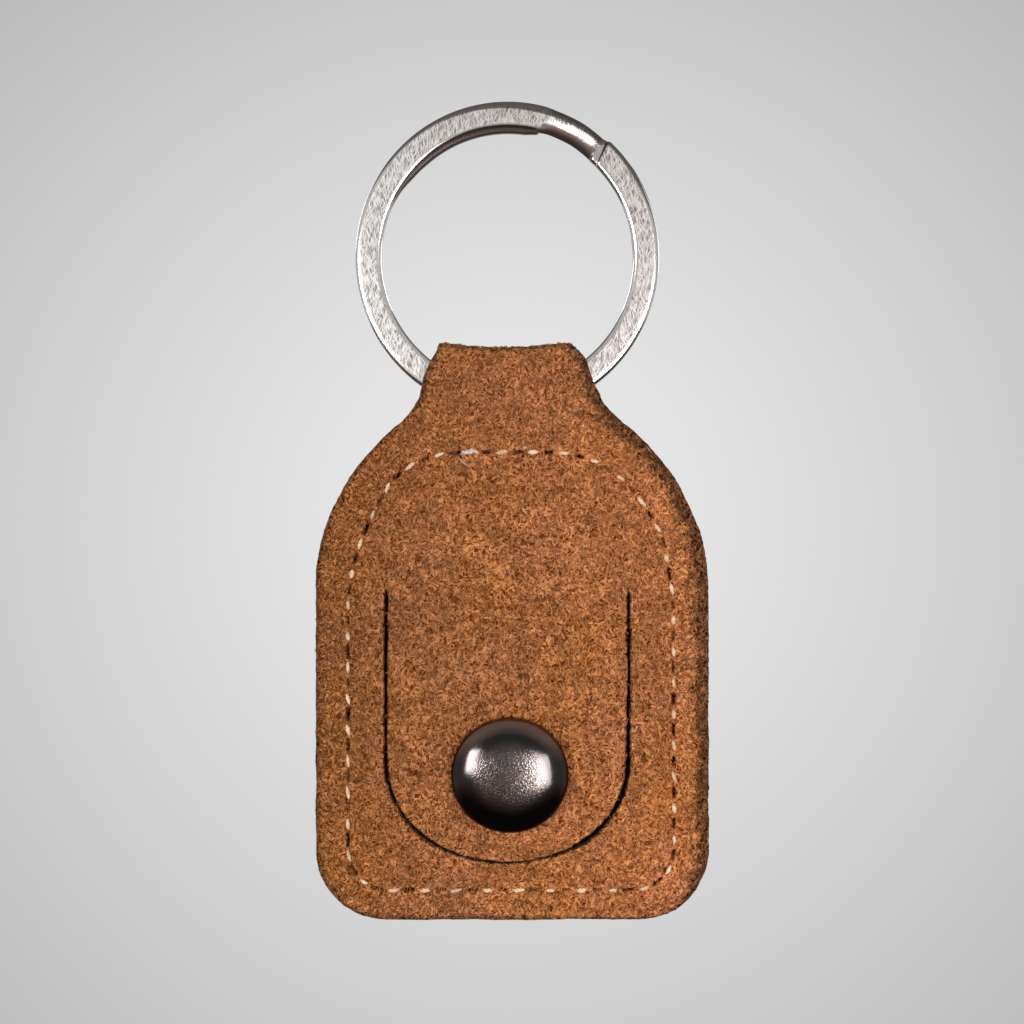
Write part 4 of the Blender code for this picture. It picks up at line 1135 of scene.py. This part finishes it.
def studio():
    """A pale bowl: a floor that curves up into a backdrop. Beyond the middle of the floor it glows
    as painted light, lighter behind the object.
    """
    floor_z, wall_radius, steps = -290, 468, 96
    rings = [(150, floor_z), (270, floor_z), (350, -282), (405, -260), (440, -225), (458, -180),
             (465, -100), (wall_radius, 60), (wall_radius, 330)]
    turn = 2 * pi * np.arange(steps) / steps
    around = np.stack([np.cos(turn), np.sin(turn), np.ones(steps)], -1)
    points = np.concatenate([*(around * (r, r, z) for r, z in rings), [(0, 0, floor_z)]])
    index = np.arange(len(rings) * steps).reshape(-1, steps)
    fan = np.stack([np.full(steps, len(points) - 1), index[0], np.roll(index[0], -1)], -1)
    m = Shader("studio_pale", Base_Color=(0.66, 0.66, 0.66, 1), Roughness=0.9,
               Specular_IOR_Level=0.1)
    at = m.rest()
    spot = m.vectors("DISTANCE", at, (0.0, wall_radius, -44.0))
    glow = m.node("ValToRGB", {0: m.sums("DIVIDE", spot, 500.0)})
    ramp = glow.color_ramp.elements
    ramp[0].color, ramp[1].color = (0.785, 0.785, 0.785, 1), (0.50, 0.50, 0.50, 1)
    for share, grey in ((0.16, 0.772), (0.34, 0.68), (0.5, 0.575), (0.66, 0.485)):
        ramp.new(share).color = (grey, grey, grey, 1)
    emission = m.node("Emission", {"Color": glow.outputs[0], "Strength": 1.0})
    reach = m.vectors("DISTANCE", m.vectors("MULTIPLY", at, (1.0, 1.0, 0.0)), (0.0, 0.0, 0.0))
    mixed = m.node("MixShader", {0: m.spread(reach, 150, 270), 1: m.main.outputs[0],
                                 2: emission.outputs[0]})
    output = m.tree.nodes["Material Output"]
    m.tree.links.new(mixed.outputs[0], output.inputs["Surface"])
    bowl = build("studio_bowl", points, [quads(index[1:], index[:-1], 1), fan], m.made)
    bowl.visible_diffuse = bowl.visible_shadow = False


def flag():
    """A dark card in front of and below the object, which only shows in reflections: a painted
    reflection that glows brownish at its front and sides and near black towards the object.
    """
    half, front, back = 420, (-420, -185), (120, -235)
    corners = np.array([(-half, *front), (half, *front), (half, *back), (-half, *back)], float)
    m = Shader("flag_black", Base_Color=(0.01, 0.01, 0.01, 1), Roughness=1.0,
               Specular_IOR_Level=0.0, Emission_Strength=1.0)
    x, y, _ = m.axes()
    fade = m.times(m.spread(y, -400, -140),
                   m.spread(m.sums("ABSOLUTE", x, 0.0), 200, half, 1.0, 0.0))
    m.set("Emission Color", m.blend(fade, (0.56, 0.44, 0.40), (0.045, 0.032, 0.028)))
    card = build("black_flag", corners, [np.array([(0, 1, 2, 3)])], m.made)
    card.visible_camera = card.visible_diffuse = card.visible_shadow = False


def lamp(name, at, size, power, only_gloss=False):
    """A rectangular lamp that faces the object. One for gloss shows in reflections only."""
    target = (0.5, 0, -45)
    data = bpy.data.lights.new(name, "AREA")
    data.shape = "RECTANGLE"
    data.size, data.size_y = size[0] * MM, size[1] * MM
    data.energy = power
    made = linked(name, data)
    made.location = Vector(at) * MM
    made.rotation_euler = (Vector(target) - Vector(at)).to_track_quat("-Z", "Y").to_euler()
    made.visible_camera = False
    made.visible_diffuse = not only_gloss


def lights():
    lamp("left_light", (-250, -325, -26), (90, 165), 0.78)
    lamp("right_light", (200, -350, -88), (115, 195), 0.72)
    lamp("left_gloss", (-248, -326, -32), (118, 165), 0.95, only_gloss=True)
    lamp("right_gloss", (200, -351, -105), (132, 235), 1.05, only_gloss=True)
    lamp("back_left_light", (-230, 320, 150), (220, 160), 0.55)
    lamp("back_right_light", (250, 290, 110), (220, 160), 0.5)
    world = bpy.data.worlds.new("studio_world")
    world.use_nodes = True
    bpy.context.scene.world = world
    shade = world.node_tree.nodes["Background"]
    shade.inputs["Color"].default_value = (1.0, 1.0, 1.0, 1)
    shade.inputs["Strength"].default_value = 0.38


def camera():
    data = bpy.data.cameras.new("photo_camera")
    made = linked("photo_camera", data)
    # The camera's distance from the middle plane, and how wide a strip of it the frame takes in
    distance, width, sensor = 140.0, 108.85, 36.0
    made.location = Vector((0.48, -distance, -40.9)) * MM
    made.rotation_euler = (pi / 2, 0, 0)
    data.sensor_width = sensor
    data.lens = sensor * distance / width
    data.clip_start, data.clip_end = 0.01, 10.0
    bpy.context.scene.camera = made


studio()
flag()
lights()
camera()
bpy.context.scene.view_settings.view_transform = "Standard"
